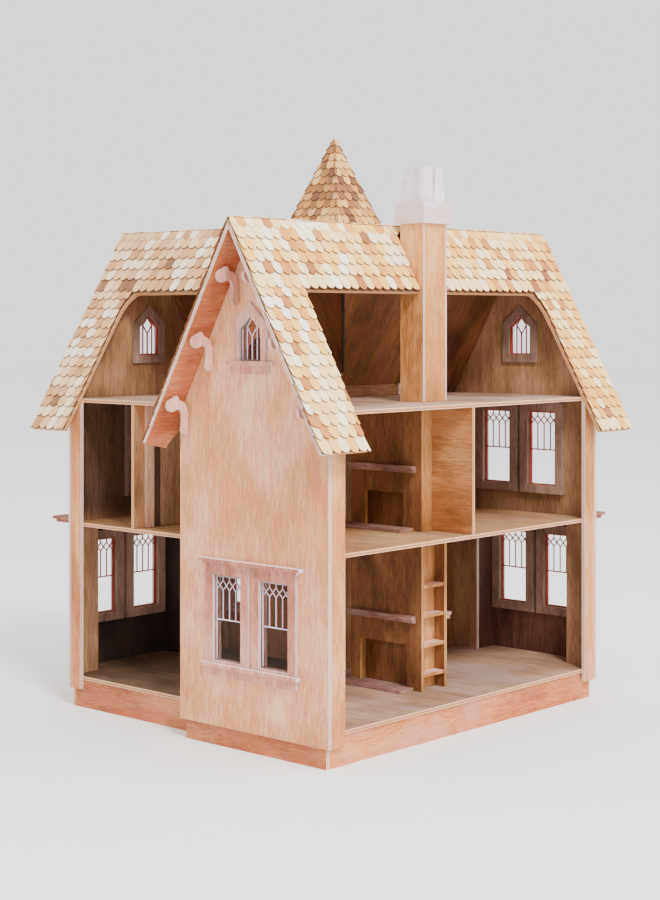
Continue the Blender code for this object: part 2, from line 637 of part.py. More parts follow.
def slope_slab(name, outline, wing, top, foot, finish):
    """A roof layer between two depths, with its eave and cut-out edges cut square to it."""
    rise = WING_RISE if wing else ROOF_RISE
    ridge = WING_RIDGE_X if wing else MAIN_RIDGE_Y
    half = (WING_WIDTH if wing else GABLE_WIDTH) / 2
    strip = CUT_DROP / rise - GAP
    shift = (foot - top) * rise / math.hypot(1, rise)
    long_low = half + EAVE_REACH - GAP
    def place(u, v, end):
        across = u if wing else v
        far = abs(across - ridge)
        square = far > long_low or strip < far < strip + CUT_CORNER
        if end == 0 and square and not in_valley(u, v):
            across += shift if across < ridge else -shift
        if wing:
            return (across, v, wing_slope(across, (foot, top)[end]))
        return (u, across, main_slope(across, (foot, top)[end]))
    return prism(name, [outline], place, finish)


def in_valley(x, y):
    """True near the lines where the wing's roof meets the main roof."""
    across = abs(x - WING_RIDGE_X) * WING_RISE / ROOF_RISE
    return abs(y - MAIN_RIDGE_Y - across) < VALLEY_BAND


def build_roof():
    for key, outline in roof_plans(GAP).items():
        slope_slab("roof_" + key, outline, key.startswith("wing"), BOARD_DEPTH, ROOF_DEPTH,
                   "brown_ply")
    plans = roof_plans(0.0)
    for part in ("main", "wing"):
        slabs = []
        for key in (key for key in plans if key.startswith(part)):
            name = "shingles_" + part if not slabs else "join_shingles_" + key
            slabs.append(slope_slab(name, plans[key], part == "wing", 0.0, SHINGLE,
                                    "shingle_wood"))
        for slab in slabs[1:]:
            boolean(slabs[0], "UNION", slab)


# ---- chimney ----------------------------------------------------------------------------

def frustum(name, foot, top, z0, z1, finish):
    """A tapered block between two rectangles given as x0, x1, y0, y1."""
    verts = [(x, y, z0) for x, y in rect(*foot)] + [(x, y, z1) for x, y in rect(*top)]
    faces = [(3, 2, 1, 0), (4, 5, 6, 7)]
    for i in range(4):
        j = (i + 1) % 4
        faces.append((i, j, j + 4, i + 4))
    add_object(name, verts, faces, finish)


def build_chimney():
    outer = rect(STACK_X, CHIMNEY_X2, CHIMNEY_Y, STACK_Y2)
    inner = rect(STACK_X + PLY, CHIMNEY_X2 - PLY, CHIMNEY_Y + PLY, STACK_Y2 - PLY)
    across_z("chimney_stack", [outer, inner], FLOOR_TOPS[2] + GAP, STACK_TOP, "pink_ply")
    grow = PLY + GAP
    collar = rect(STACK_X - grow, CHIMNEY_X2 + grow, CHIMNEY_Y - grow, STACK_Y2 + grow)
    bore = rect(STACK_X - GAP, CHIMNEY_X2 + GAP, CHIMNEY_Y - GAP, STACK_Y2 + GAP)
    across_z("chimney_cap", [collar, bore], CAP_FOOT, CAP_FOOT + CAP_HEIGHT, "white_wood")
    foot = STACK_TOP + GAP
    top = CAP_FOOT + CAP_HEIGHT + POT_HEIGHT
    middle = (STACK_X + CHIMNEY_X2) / 2
    x0 = STACK_X + GAP
    x1 = CHIMNEY_X2 - GAP
    y0 = CHIMNEY_Y + POT_TAPER / 2
    y1 = STACK_Y2 - GAP
    tops = (y0 + GAP, y1 - POT_TAPER)
    frustum("chimney_pot_near", (x0, middle - GAP / 2, y0, y1),
            (x0 + POT_TAPER / 2, middle - GAP / 2 - POT_SPLIT, *tops), foot, top, "white_wood")
    frustum("chimney_pot_far", (middle + GAP / 2, x1, y0, y1),
            (middle + GAP / 2 + POT_SPLIT_FAR, x1 - POT_TAPER, *tops), foot, top, "white_wood")


def cut_fires(breast, level):
    """Fireplace openings in both sides of a breast, down to the floor."""
    set_back, width, height = FIRES[level]
    near = CHIMNEY_Y + set_back
    floor = FLOOR_TOPS[level]
    for side, x0, x1 in (("near", CHIMNEY_X - PLY, CHIMNEY_X + 2 * PLY),
                         ("far", CHIMNEY_X2 - 2 * PLY, CHIMNEY_X2 + PLY)):
        cutter = block("cut_fire_%d_%s" % (level + 1, side), x0, x1, near, near + width,
                       floor - PLY, floor + height, "brown_ply")
        boolean(breast, "DIFFERENCE", cutter, BREAST_SOLVER)


def build_breasts():
    x0 = CHIMNEY_X
    x1 = CHIMNEY_X2
    y0 = CHIMNEY_Y
    spine0 = (x0 + x1 - PLY) / 2
    spine1 = spine0 + PLY
    niche = y0 + NICHE_DEPTH
    outline = [(x0, y0), (x0 + PLY, y0), (x0 + PLY, niche), (x1 - PLY, niche), (x1 - PLY, y0),
               (x1, y0), (x1, BREAST_Y2), (x0, BREAST_Y2)]
    hollows = [rect(x0 + PLY, spine0, niche + PLY, BREAST_Y2 - PLY),
               rect(spine1, x1 - PLY, niche + PLY, BREAST_Y2 - PLY)]
    lower = across_z("chimney_breast_1", [outline] + hollows, *STORY_1, "brown_ply")
    cut_fires(lower, 0)
    hollows = [rect(x0 + PLY, spine0, y0 + PLY, BREAST_Y2 - PLY),
               rect(spine1, x1 - PLY, y0 + PLY, BREAST_Y2 - PLY)]
    upper = across_z("chimney_breast_2", [rect(x0, x1, y0, BREAST_Y2)] + hollows, *STORY_2,
                     "brown_ply")
    cut_fires(upper, 1)


def build_bookcase():
    """The niche's back panel with its shelves, as one comb-shaped piece."""
    back = CHIMNEY_Y + NICHE_DEPTH - GAP
    face = back - BOOKCASE_BACK
    front = CHIMNEY_Y + GAP
    steps = []
    for i in range(SHELF_COUNT):
        top = FLOOR_1 + SHELF_FIRST + i * SHELF_PITCH
        steps += [(face, top - SHELF_THICK), (front, top - SHELF_THICK), (front, top),
                  (face, top)]
    outline = [(back, STORY_1[0]), (back, STORY_1[1]), (face, STORY_1[1])] + steps[::-1] \
        + [(face, STORY_1[0])]
    across_x("bookcase", [outline], CHIMNEY_X + PLY + GAP, CHIMNEY_X2 - PLY - GAP, "trim_wood")


def build_mantels():
    """Stepped shelves over the fireplaces and thin slabs in front of them."""
    def mantel(name, wall, out, top, inset):
        edge = wall + out * GAP
        lip = wall + out * MANTEL_REACH
        step = wall + out * (MANTEL_REACH - MANTEL_STEP)
        low = top - 2 * MANTEL_THICK
        profile = [(edge, low), (step, low), (step, top - MANTEL_THICK),
                   (lip, top - MANTEL_THICK), (lip, top), (edge, top)]
        across_y(name, [profile], CHIMNEY_Y + inset, BREAST_Y2, "trim_wood")
    for level in (0, 1):
        top = FLOOR_TOPS[level] + MANTEL_HEIGHTS[level]
        mantel("mantel_%d_near" % (level + 1), CHIMNEY_X, -1, top, MANTEL_INSET)
        mantel("mantel_%d_far" % (level + 1), CHIMNEY_X2, 1, top, 0.0)
        foot = FLOOR_TOPS[level] + GAP
        block("hearth_%d" % (level + 1), CHIMNEY_X - GAP - HEARTH_REACH, CHIMNEY_X - GAP,
              CHIMNEY_Y + HEARTH_INSETS[0], BREAST_Y2 - HEARTH_INSETS[1], foot,
              foot + HEARTH_THICK, "trim_wood")


def build_partitions():
    block("partition_main", PARTITION_X, PARTITION_X + PLY, FLOOR_SET_BACK + GAP,
          CHIMNEY_Y - GAP, *STORY_2, "brown_ply")
    block("partition_wing", WING_START + FLOOR_SET_BACK + GAP, WING_END - PLY - GAP,
          PARTITION_Y, PARTITION_Y + PLY, *STORY_2, "brown_ply")


# ---- window trim on gable A and scroll brackets -----------------------------------------

def build_trim_a():
    centre = MAIN_RIDGE_Y
    top = SILL_A + SASH_HEIGHT + HEAD_RAIL
    foot = SILL_A - SILL_RAIL
    face = -GAP
    frame = rect(centre - PAIR_HALF, centre + PAIR_HALF, foot, top)
    frame = across_x("window_frame_a", [frame] + pair_holes(centre, SILL_A), face - TRIM, face,
                     "trim_wood")
    groove = block("cut_window_frame_a", face - 2 * TRIM, face - GROOVE_SKIN,
                   centre - SASH_SPACE / 2, centre + SASH_SPACE / 2, foot - TRIM, top + TRIM,
                   "trim_wood")
    boolean(frame, "DIFFERENCE", groove)
    half = PAIR_HALF + CROWN_SIDE
    wide = half + CROWN_STEP
    low = top + GAP
    middle = low + CROWN_LAYERS[0]
    high = middle + CROWN_LAYERS[1]
    crown = [(centre - half, low), (centre + half, low), (centre + half, middle),
             (centre + wide, middle), (centre + wide, high), (centre - wide, high),
             (centre - wide, middle), (centre - half, middle)]
    across_x("window_crown_a", [crown], face - CROWN_REACH, face, "trim_wood")
    high = foot - GAP
    low = high - SILL_THICK
    edge = face - SILL_REACH
    sill = [(face, high), (edge, high), (edge, low), (face - TRIM, low),
            (face - TRIM, low - APRON_HEIGHT), (face, low - APRON_HEIGHT)]
    across_y("window_sill_a", [sill], centre - half, centre + half, "trim_wood")
    cover = PAIR_HALF - SASH_STILE + PANE_COVER
    pane = rect(centre - cover, centre + cover, SILL_A - PANE_COVER,
                SILL_A + SASH_HEIGHT + PANE_COVER)
    across_x("window_pane_a", [pane], PLY + GAP, PLY + GAP + PANE, "clear_sheet")
    across_x("attic_window_frame_a", [lancet(centre, LANCET_FRAME, 1.0), lancet(centre, 0, 0)],
             face - TRIM, face, "trim_wood")


def curve_samples(path, widths, steps):
    """Points and widths along a smooth curve through the path's points."""
    samples = []
    for i in range(len(path) - 1):
        a = path[i]
        b = path[i + 1]
        before = path[max(i - 1, 0)]
        after = path[min(i + 2, len(path) - 1)]
        for k in range(steps):
            t = k / steps
            point = 0.5 * ((2 * a) + (b - before) * t + (2 * before - 5 * a + 4 * b - after)
                           * t * t + (3 * a - before - 3 * b + after) * t * t * t)
            ease = t * t * (3 - 2 * t)
            samples.append((point, widths[i] * (1 - ease) + widths[i + 1] * ease))
    samples.append((path[-1], widths[-1]))
    return samples


def bracket_outline():
    """A scroll in X and Z as a stroke of changing width; its nub's top is at the origin."""
    path = [Vector(point) for point in BRACKET_PATH]
    samples = curve_samples(path, BRACKET_WIDTHS, 4)
    outer = []
    inner = []
    for i in range(1, len(samples) - 1):
        point, width = samples[i]
        run = (samples[i + 1][0] - samples[i - 1][0]).normalized()
        side = Vector((run.y, -run.x))
        outer.append(tuple(point + side * width))
        inner.append(tuple(point - side * width))
    nub_x, nub_radius = BRACKET_NUB
    nub = arc(nub_x, -nub_radius - GAP / 3, nub_radius, 20, 160, 4)
    start = arc(path[0].x, path[0].y, BRACKET_WIDTHS[0], 160, 380, 7)
    end = arc(path[-1].x, path[-1].y, BRACKET_WIDTHS[-1], 105, 320, 8)
    kept_outer = [p for p in outer[1:] if p[0] > nub_x + nub_radius and p[1] < 0]
    kept_inner = [p for p in inner[1:] if p[0] > nub_x + nub_radius / 4]
    return start + kept_outer + nub + end + kept_inner[::-1]


def build_brackets():
    outline = bracket_outline()
    half = BRACKET_THICK / 2
    for side, sign in (("far", 1), ("near", -1)):
        for i in range(BRACKET_COUNT):
            y = MAIN_RIDGE_Y + sign * (BRACKET_FIRST - i * BRACKET_PITCH)
            top = under_main(MAIN_RIDGE_Y + abs(y - MAIN_RIDGE_Y) + half)
            prism("scroll_bracket_%s_%d" % (side, i + 1), [outline],
                  lambda u, v, end: (u - GAP, y + (-half, half)[end], v + top), "trim_wood")


def main():
    clear_scene()
    frame = bpy.data.objects.new("house_frame", None)
    frame.location = (-MIDDLE_X * MM, -MIDDLE_Y * MM, 0.0)
    bpy.context.collection.objects.link(frame)
    build_base()
    build_tower_base()
    build_floors()
    build_gables()
    build_side_walls()
    build_bays()
    build_tower()
    build_door()
    build_roof()
    build_chimney()
    build_breasts()
    build_bookcase()
    build_mantels()
    build_partitions()
    build_trim_a()
    build_brackets()


main()
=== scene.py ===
import math
import random

import bmesh
import bpy
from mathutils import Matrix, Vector


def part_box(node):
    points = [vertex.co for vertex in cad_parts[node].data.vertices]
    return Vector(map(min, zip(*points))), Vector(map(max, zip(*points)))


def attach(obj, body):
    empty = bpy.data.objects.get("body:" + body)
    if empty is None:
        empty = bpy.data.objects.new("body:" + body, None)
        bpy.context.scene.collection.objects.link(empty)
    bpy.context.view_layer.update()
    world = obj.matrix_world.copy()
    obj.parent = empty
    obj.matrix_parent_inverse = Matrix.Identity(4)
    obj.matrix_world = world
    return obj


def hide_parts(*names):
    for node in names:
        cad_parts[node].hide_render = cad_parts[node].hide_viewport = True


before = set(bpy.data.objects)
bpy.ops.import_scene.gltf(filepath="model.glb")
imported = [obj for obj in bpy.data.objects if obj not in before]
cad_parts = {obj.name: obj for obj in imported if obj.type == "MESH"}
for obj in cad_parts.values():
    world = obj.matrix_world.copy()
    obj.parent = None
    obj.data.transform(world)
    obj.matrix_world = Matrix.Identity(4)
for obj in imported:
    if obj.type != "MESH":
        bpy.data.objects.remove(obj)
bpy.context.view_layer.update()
rng = random.Random(20)

# ---- the plan frame: millimetres, with gable A's outer face at x 0 and the open side at y 0

MM = 0.001
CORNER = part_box("gable_a")[0]


def at(x, y, z):
    return Vector((CORNER[0] + x * MM, CORNER[1] + y * MM, z * MM))


def span(node):
    """A node's box as (x0, x1, y0, y1, z0, z1) in the plan frame."""
    lo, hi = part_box(node)
    return ((lo[0] - CORNER[0]) / MM, (hi[0] - CORNER[0]) / MM, (lo[1] - CORNER[1]) / MM,
            (hi[1] - CORNER[1]) / MM, lo[2] / MM, hi[2] / MM)


PLY = span("gable_a")[1]
MAIN_Y = span("gable_a")[3] / 2
WING = span("gable_c")
WING_X = (WING[0] + WING[1]) / 2
LENGTH = span("gable_b")[1]
END_Y = WING[3]
FLOORS = [span("floor_%d" % i)[5] for i in (1, 2, 3)]
ROOF = span("shingles_main")
WING_ROOF = span("shingles_wing")
RIDGE = ROOF[5]


def rise_of(low, run):
    """A roof's rise for one unit across, from the height and reach of its eave."""
    rough = (RIDGE - low) / run
    return rough - 1.2 / math.hypot(1, rough) / run


RISE = rise_of(ROOF[4], MAIN_Y - ROOF[2])
WING_RISE = rise_of(WING_ROOF[4], WING_X - WING_ROOF[0])
SLANT = math.hypot(1, RISE)
WING_SLANT = math.hypot(1, WING_RISE)
TURN = RISE / WING_RISE
CUT_DROP = 55.3
BAY_C_X = (span("bay_c_walls")[0] + span("bay_c_walls")[1]) / 2
TOWER = span("tower_wall_inner")
TOWER_FRONT = span("tower_wall_front")[3]
TOWER_RIGHT = span("tower_wall_side")[1]
TOWER_X = (TOWER[0] + TOWER_RIGHT) / 2
TOWER_Y = (TOWER[2] + TOWER_FRONT) / 2
STACK = span("chimney_stack")


def link(item):
    bpy.context.scene.collection.objects.link(item)


def tint(r, g, b):
    """A colour given as 0-255 sRGB, in linear light."""
    def one(c):
        c = c / 255
        return c / 12.92 if c <= 0.04045 else ((c + 0.055) / 1.055) ** 2.4
    return (one(r), one(g), one(b), 1.0)


def tints(*colours):
    return tuple(tint(*colour) for colour in colours)


# ---- materials ----

class Nodes:
    """A small helper for building one material's node tree."""

    def __init__(self, name):
        self.material = bpy.data.materials.new(name)
        self.material.use_nodes = True
        self.tree = self.material.node_tree
        self.bsdf = self.tree.nodes["Principled BSDF"]

    def add(self, kind, inputs=None, **settings):
        node = self.tree.nodes.new(kind)
        for key, value in settings.items():
            setattr(node, key, value)
        for key, value in (inputs or {}).items():
            self.put(node.inputs[key], value)
        return node

    def put(self, socket, value):
        if isinstance(value, bpy.types.NodeSocket):
            self.tree.links.new(value, socket)
        else:
            socket.default_value = value

    def math(self, operation, a, b=0.0, c=0.0):
        return self.add("ShaderNodeMath", {0: a, 1: b, 2: c}, operation=operation).outputs[0]

    def sub(self, a, b):
        return self.math("SUBTRACT", a, b)

    def times(self, a, b):
        return self.math("MULTIPLY", a, b)

    def times_add(self, a, b, c):
        return self.math("MULTIPLY_ADD", a, b, c)

    def size(self, a):
        return self.math("ABSOLUTE", a)

    def ramp(self, fac, stops):
        node = self.add("ShaderNodeValToRGB", {"Fac": fac})
        ramp = node.color_ramp
        while len(ramp.elements) < len(stops):
            ramp.elements.new(0.5)
        for element, (place, colour) in zip(ramp.elements, stops):
            element.position = place
            element.color = colour
        return node.outputs["Color"]

    def step(self, value, low, high):
        node = self.add("ShaderNodeMapRange", {"Value": value, "From Min": low, "From Max": high},
                        interpolation_type="SMOOTHSTEP")
        return node.outputs["Result"]

    def mix(self, fac, a, b):
        node = self.add("ShaderNodeMix", data_type="RGBA", blend_type="MIX")
        self.put(node.inputs["Factor"], fac)
        self.put(node.inputs[6], a)
        self.put(node.inputs[7], b)
        return node.outputs[2]

    def noise(self, vector, scale, detail=3.0, rough=0.55, distort=0.0):
        node = self.add("ShaderNodeTexNoise",
                        {"Vector": vector, "Scale": scale, "Detail": detail,
                         "Roughness": rough, "Distortion": distort})
        return node.outputs["Fac"]


    def surface(self, colour, rough, height, strength, distance):
        """Colour, roughness and bump of the finished material."""
        bump = self.add("ShaderNodeBump", {"Strength": strength, "Distance": distance,
                                           "Height": height})
        self.put(self.bsdf.inputs["Base Color"], colour)
        self.put(self.bsdf.inputs["Roughness"], rough)
        self.put(self.bsdf.inputs["Normal"], bump.outputs["Normal"])
        return self.material


LEAN = {"main_open": (math.atan(1 / RISE), 0.0), "main_near": (-math.atan(1 / RISE), 0.0),
        "main_far": (-math.atan(1 / RISE), 0.0), "wing_open": (0.0, -math.atan(1 / WING_RISE)),
        "wing_far": (0.0, math.atan(1 / WING_RISE))}


def grain_vector(nodes, source, grain, stretch, offset):
    """Coordinates in millimetres, squeezed along X, Y, Z or down a roof slope."""
    lean = (*LEAN.get(grain, (0.0, 0.0)), 0.0)
    turned = nodes.add("ShaderNodeMapping", {"Vector": source, "Rotation": lean,
                                             "Location": offset}, vector_type="POINT")
    scale = [1000.0, 1000.0, 1000.0]
    scale["XYZ".index(grain) if grain in ("X", "Y", "Z") else 2] *= stretch
    node = nodes.add("ShaderNodeVectorMath", {0: turned.outputs[0], 1: scale},
                     operation="MULTIPLY")
    return node.outputs[0]


EDGE_PALE = tints((232, 212, 210), (216, 186, 176), (146, 98, 76), (206, 166, 146))
EDGE_FLOOR = tints((226, 190, 164), (206, 154, 116), (112, 62, 36), (184, 122, 78))
EDGE_TRIM = tints((240, 226, 236), (222, 200, 208), (120, 72, 60), (206, 172, 168))
EDGE_TAN = tints((222, 176, 132), (198, 144, 98), (126, 74, 44), (190, 134, 88))


def shades(nodes, tone, tones):
    """A wood's dark, middle and light tones."""
    return nodes.ramp(tone, list(zip((0.12, 0.5, 0.86), tones)))


def edge_ramp(nodes, through, tones):
    """The plies seen on a cut edge, from one face to the other."""
    rim, second, line, middle = tones
    return nodes.ramp(through, [(0.0, rim), (0.26, second), (0.33, line), (0.46, middle),
                                (0.62, middle), (0.70, second), (1.0, rim)])


def wood(name, dark, mid, light, patch=None, grain="Z", layer=None, amount=1.0, rough=0.68,
         figure=1.0, patchy=0.55, edge=EDGE_PALE, ends=None, zones=(), flat=None,
         front=None, far_edge=None, outer=None):
    """Thin plywood: fine grain, broad figure, stains, painted light and shade in set zones and on
    faces turned up or to the front and, on cut edges, its layers.
    """
    seed = random.Random(name)
    offset = [seed.uniform(-3, 3) for _ in range(3)]
    n = Nodes(name)
    source = n.add("ShaderNodeTexCoord").outputs["Object"]
    fine = grain_vector(n, source, grain, 0.06, offset)
    long = grain_vector(n, source, grain, 0.10, offset)
    lines = n.noise(fine, 1.5, 4.0, 0.68)
    bands = n.noise(long, 0.10, 4.0, 0.55, 0.8)
    pores = n.noise(fine, 3.2, 2.0, 0.5)
    stains = n.noise(grain_vector(n, source, grain, 0.45, offset), 0.022, 4.0, 0.65, 0.8)
    broad = n.noise(grain_vector(n, source, grain, 0.7, offset), 0.016, 3.0, 0.5, 0.6)
    flecks = n.step(pores, 0.60, 0.74)
    tone = n.times_add(n.sub(bands, 0.5), 0.8 * figure,
                  n.times_add(n.sub(lines, 0.5), 1.7 * amount, 0.5))
    tone = n.times_add(n.sub(broad, 0.5), 1.3, tone)
    colour = shades(n, tone, (dark, mid, light))
    if patch:
        colour = n.mix(n.times(n.step(stains, 0.46, 0.64), patchy), colour, patch)
    colour = n.mix(n.times(flecks, 0.34 * amount), colour, dark)
    place = n.add("ShaderNodeSeparateXYZ", {0: source}).outputs
    normal = n.add("ShaderNodeSeparateXYZ",
                   {0: n.add("ShaderNodeNewGeometry").outputs["Normal"]}).outputs
    # Painted light and shade: past a line along one axis the board takes other tones, for storeys
    # and rooms that get more or less light.
    for axis, start, tones in zones:
        colour = n.mix(n.step(place[axis], start - 0.012, start + 0.012), colour,
                       shades(n, tone, tones))
    if outer:
        x, y, tones = outer
        away = n.times_add(normal[0], n.sub(place[0], x),
                      n.times(normal[1], n.sub(place[1], y)))
        colour = n.mix(n.step(away, -0.001, 0.001), colour, shades(n, tone, tones))
    # Painted light and shade: faces turned up (flat) or to the front (front) take another set of
    # tones, as lit faces of the same wood.
    for axis, tones in ((2, flat), (1, front)):
        if tones:
            colour = n.mix(n.step(n.size(normal[axis]), 0.4, 0.7), colour,
                           shades(n, tone, tones))
    cut = None
    if layer:
        kind, start, thick = layer
        if kind in (0, 1, 2):
            through = n.math("DIVIDE", n.sub(place[kind], start), thick)
            cut = n.sub(1.0, n.step(n.size(normal[kind]), 0.45, 0.6))
        else:
            axis, ridge, rise = kind
            slant = math.hypot(1, rise)
            across = n.sub(place[axis], ridge)
            drop = n.times(n.size(across), rise)
            through = n.math("DIVIDE", n.sub(start, n.math("ADD", place[2], drop)),
                             thick * slant)
            side = n.times(n.math("SIGN", across), normal[axis])
            facing = n.times_add(normal[2], 1 / slant,
                            n.times(side, rise / slant))
            cut = n.sub(1.0, n.step(n.size(facing), 0.45, 0.7))
    elif ends:
        low, far, width, kind = ends
        inside = n.math("MINIMUM", n.sub(place[kind], low),
                        n.sub(far, place[kind]))
        face = n.step(n.size(normal[1 - kind]), 0.6, 0.8)
        cut = n.times(face, n.sub(1.0, n.step(inside, width * 0.8,
                                                                       width)))
        through = n.math("DIVIDE", inside, width)
    if cut is not None:
        ragged = n.times_add(n.sub(n.noise(source, 900.0, 3.0), 0.5),
                        0.30, through)
        paint_edge = edge_ramp(n, ragged, edge)
        middle = edge[3]
        if far_edge:
            limit, other = far_edge
            paint_edge = n.mix(n.step(place[0], limit, limit + 0.002), edge_ramp(n, ragged, other),
                               paint_edge)
        fuzz = n.noise(source, 420.0, 4.0, 0.7)
        paint_edge = n.mix(n.times(n.step(fuzz, 0.42, 0.62), 0.4), paint_edge, middle)
        colour = n.mix(cut, colour, paint_edge)
    n.bsdf.inputs["Specular IOR Level"].default_value = 0.32
    return n.surface(colour, n.times_add(lines, 0.22, rough - 0.1),
                     n.times_add(flecks, -0.5, lines), 0.30, 0.00035)


def shingle_wood(name, stops, shadow):
    """Shingles: a tone for each piece, grain along it and painted shadow, its underside and the
    rim round its butt darker.
    """
    n = Nodes(name)
    tone = n.add("ShaderNodeAttribute", attribute_name="tone").outputs["Fac"]
    place = n.add("ShaderNodeAttribute", attribute_name="grain").outputs["Vector"]
    rim = n.add("ShaderNodeAttribute", attribute_name="rim").outputs["Fac"]
    lines = n.noise(place, 1.5, 4.0, 0.65)
    broad = n.noise(place, 0.34, 2.0, 0.5)
    shade = n.times_add(n.sub(lines, 0.5), 0.36,
                   n.times_add(n.sub(broad, 0.5), 0.22, tone))
    colour = n.ramp(shade, stops)
    colour = n.mix(n.times(n.step(lines, 0.56, 0.70), 0.30), colour, shadow)
    # Painted shadow: the rim and underside of each shingle take the shadow colour.
    colour = n.mix(n.times(rim, 0.95), colour, shadow)
    n.bsdf.inputs["Specular IOR Level"].default_value = 0.25
    return n.surface(colour, n.times_add(lines, 0.2, 0.66), lines, 0.35, 0.0003)


def clear_sheet(name):
    n = Nodes(name)
    source = n.add("ShaderNodeTexCoord").outputs["Object"]
    smudge = n.noise(source, 60.0, 4.0, 0.6, 0.5)
    n.bsdf.inputs["Transmission Weight"].default_value = 1.0
    n.bsdf.inputs["IOR"].default_value = 1.12
    return n.surface(n.mix(smudge, tint(246, 250, 250), tint(252, 252, 248)),
                     n.times_add(smudge, 0.06, 0.01), n.noise(source, 25.0, 2.0), 0.04, 0.0002)


PINK = tints((188, 118, 78), (216, 154, 112), (236, 192, 158))
ORANGE = tint(204, 116, 60)
BROWN = tints((84, 48, 26), (120, 76, 44), (152, 104, 66))
DIM = tints((52, 28, 22), (84, 50, 40), (108, 72, 58))
SHADE_BLACK = tints((22, 14, 12), (40, 26, 22), (58, 40, 34))
GREY_BROWN = tints((106, 74, 48), (144, 106, 74), (170, 132, 98))
SHADED_STOREY_BROWN = tints((50, 34, 22), (78, 54, 36), (104, 76, 54))
ATTIC_C = tints((106, 68, 44), (144, 100, 68), (172, 130, 94))
PARTITION = tints((118, 66, 28), (160, 100, 52), (194, 138, 86))
ROOF_BROWN = tints((60, 30, 12), (98, 56, 28), (136, 86, 48))
FLOOR_GOLD = tints((130, 92, 56), (166, 122, 82), (196, 156, 116))
OLIVE = tints((124, 84, 54), (164, 120, 84), (190, 148, 112))
TAN = tints((158, 94, 44), (204, 138, 76), (232, 180, 124))
GOLD = tints((126, 74, 32), (172, 112, 56), (204, 148, 92))
STRIP = tints((164, 94, 50), (202, 132, 82), (226, 174, 126))
SOFFIT = tints((144, 72, 40), (186, 104, 66), (208, 140, 102))
BASE = tints((156, 74, 34), (198, 112, 62), (220, 150, 98))
BASE_DIM = tints((130, 66, 38), (172, 98, 60), (200, 134, 94))
SHADED_DEEP = tints((74, 40, 18), (114, 70, 36), (152, 102, 60))
FLOOR = tints((126, 94, 72), (162, 126, 100), (192, 160, 136))
FLOOR_DIM = tints((70, 52, 36), (98, 76, 56), (124, 100, 76))
PALE = tints((196, 132, 112), (220, 166, 150), (240, 204, 192))
TRIM_PINK = tints((150, 86, 66), (190, 126, 104), (224, 174, 156))
MAUVE = tints((96, 70, 58), (130, 100, 86), (160, 128, 112))
MANTEL = tints((100, 64, 52), (138, 98, 86), (180, 142, 130))
WHITE = tints((196, 174, 190), (230, 216, 228), (248, 240, 248))
RUST = tints((120, 40, 24), (162, 66, 44), (190, 100, 76))


def sheet(node):
    """The layer setting for a flat board: its thin axis, its low face and its thickness."""
    lo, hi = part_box(node)
    sizes = [hi[i] - lo[i] for i in range(3)]
    axis = sizes.index(min(sizes))
    return (axis, lo[axis], sizes[axis])


def paint(node, tones, grain, bevel=0.22, layer="sheet", **more):
    """Gives a CAD node its own wood and softens its edges."""
    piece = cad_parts[node]
    setting = sheet(node) if layer == "sheet" else layer
    piece.data.materials.clear()
    piece.data.materials.append(wood("wood_" + node, *tones, grain=grain, layer=setting, **more))
    if bevel:
        soften(piece, bevel)
    return piece


def soften(piece, width, segments=2):
    modifier = piece.modifiers.new("soft_edges", "BEVEL")
    modifier.width = width * MM
    modifier.segments = segments
    modifier.limit_method = "ANGLE"
    modifier.angle_limit = math.radians(40)
    modifier.use_clamp_overlap = True


# ---- building meshes ----

class Build:
    """Collects closed solids, in the plan frame, for one object."""

    def __init__(self):
        self.verts = []
        self.faces = []
        self.smooth = []

    def solid(self, low, high, smooth=False):
        """A closed solid between two matching outlines."""
        start = len(self.verts)
        size = len(low)
        self.verts += [at(*p) for p in low] + [at(*p) for p in high]
        self.faces.append(tuple(start + i for i in reversed(range(size))))
        self.faces.append(tuple(start + size + i for i in range(size)))
        for i in range(size):
            j = (i + 1) % size
            self.faces.append((start + i, start + j, start + size + j, start + size + i))
        self.smooth += [False, False] + [smooth] * size

    def box(self, x0, x1, y0, y1, z0, z1):
        ring = [(x0, y0), (x1, y0), (x1, y1), (x0, y1)]
        self.solid([(x, y, z0) for x, y in ring], [(x, y, z1) for x, y in ring])

    def ball(self, x, y, z, radius, squash=1.0):
        """A turned knob about an axis along Y."""
        rows = 7
        count = 14
        start = len(self.verts)
        for i in range(rows + 1):
            a = math.pi * i / rows
            for k in range(count):
                b = math.tau * k / count
                self.verts.append(at(x + radius * math.sin(a) * math.cos(b),
                                     y + radius * squash * math.cos(a),
                                     z + radius * math.sin(a) * math.sin(b)))
        for i in range(rows):
            for k in range(count):
                m = (k + 1) % count
                a = start + i * count
                self.faces.append((a + k, a + m, a + count + m, a + count + k))
                self.smooth.append(True)

    def finish(self, name, material, body="house", bevel=0.25, stands_for=(),
               slot="trim_wood"):
        mesh = bpy.data.meshes.new(name)
        mesh.from_pydata(self.verts, [], self.faces)
        mesh.validate()
        mesh.update()
        if len(self.smooth) == len(mesh.polygons):
            mesh.polygons.foreach_set("use_smooth", self.smooth)
        mesh.materials.append(material)
        piece = bpy.data.objects.new(name, mesh)
        link(piece)
        repair(mesh)
        if bevel:
            soften(piece, bevel)
        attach(piece, body)
        if stands_for:
            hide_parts(*stands_for)
        return piece


def repair(mesh):
    """Turns every solid's faces outwards."""
    work = bmesh.new()
    work.from_mesh(mesh)
    bmesh.ops.recalc_face_normals(work, faces=work.faces)
    work.to_mesh(mesh)
    work.free()


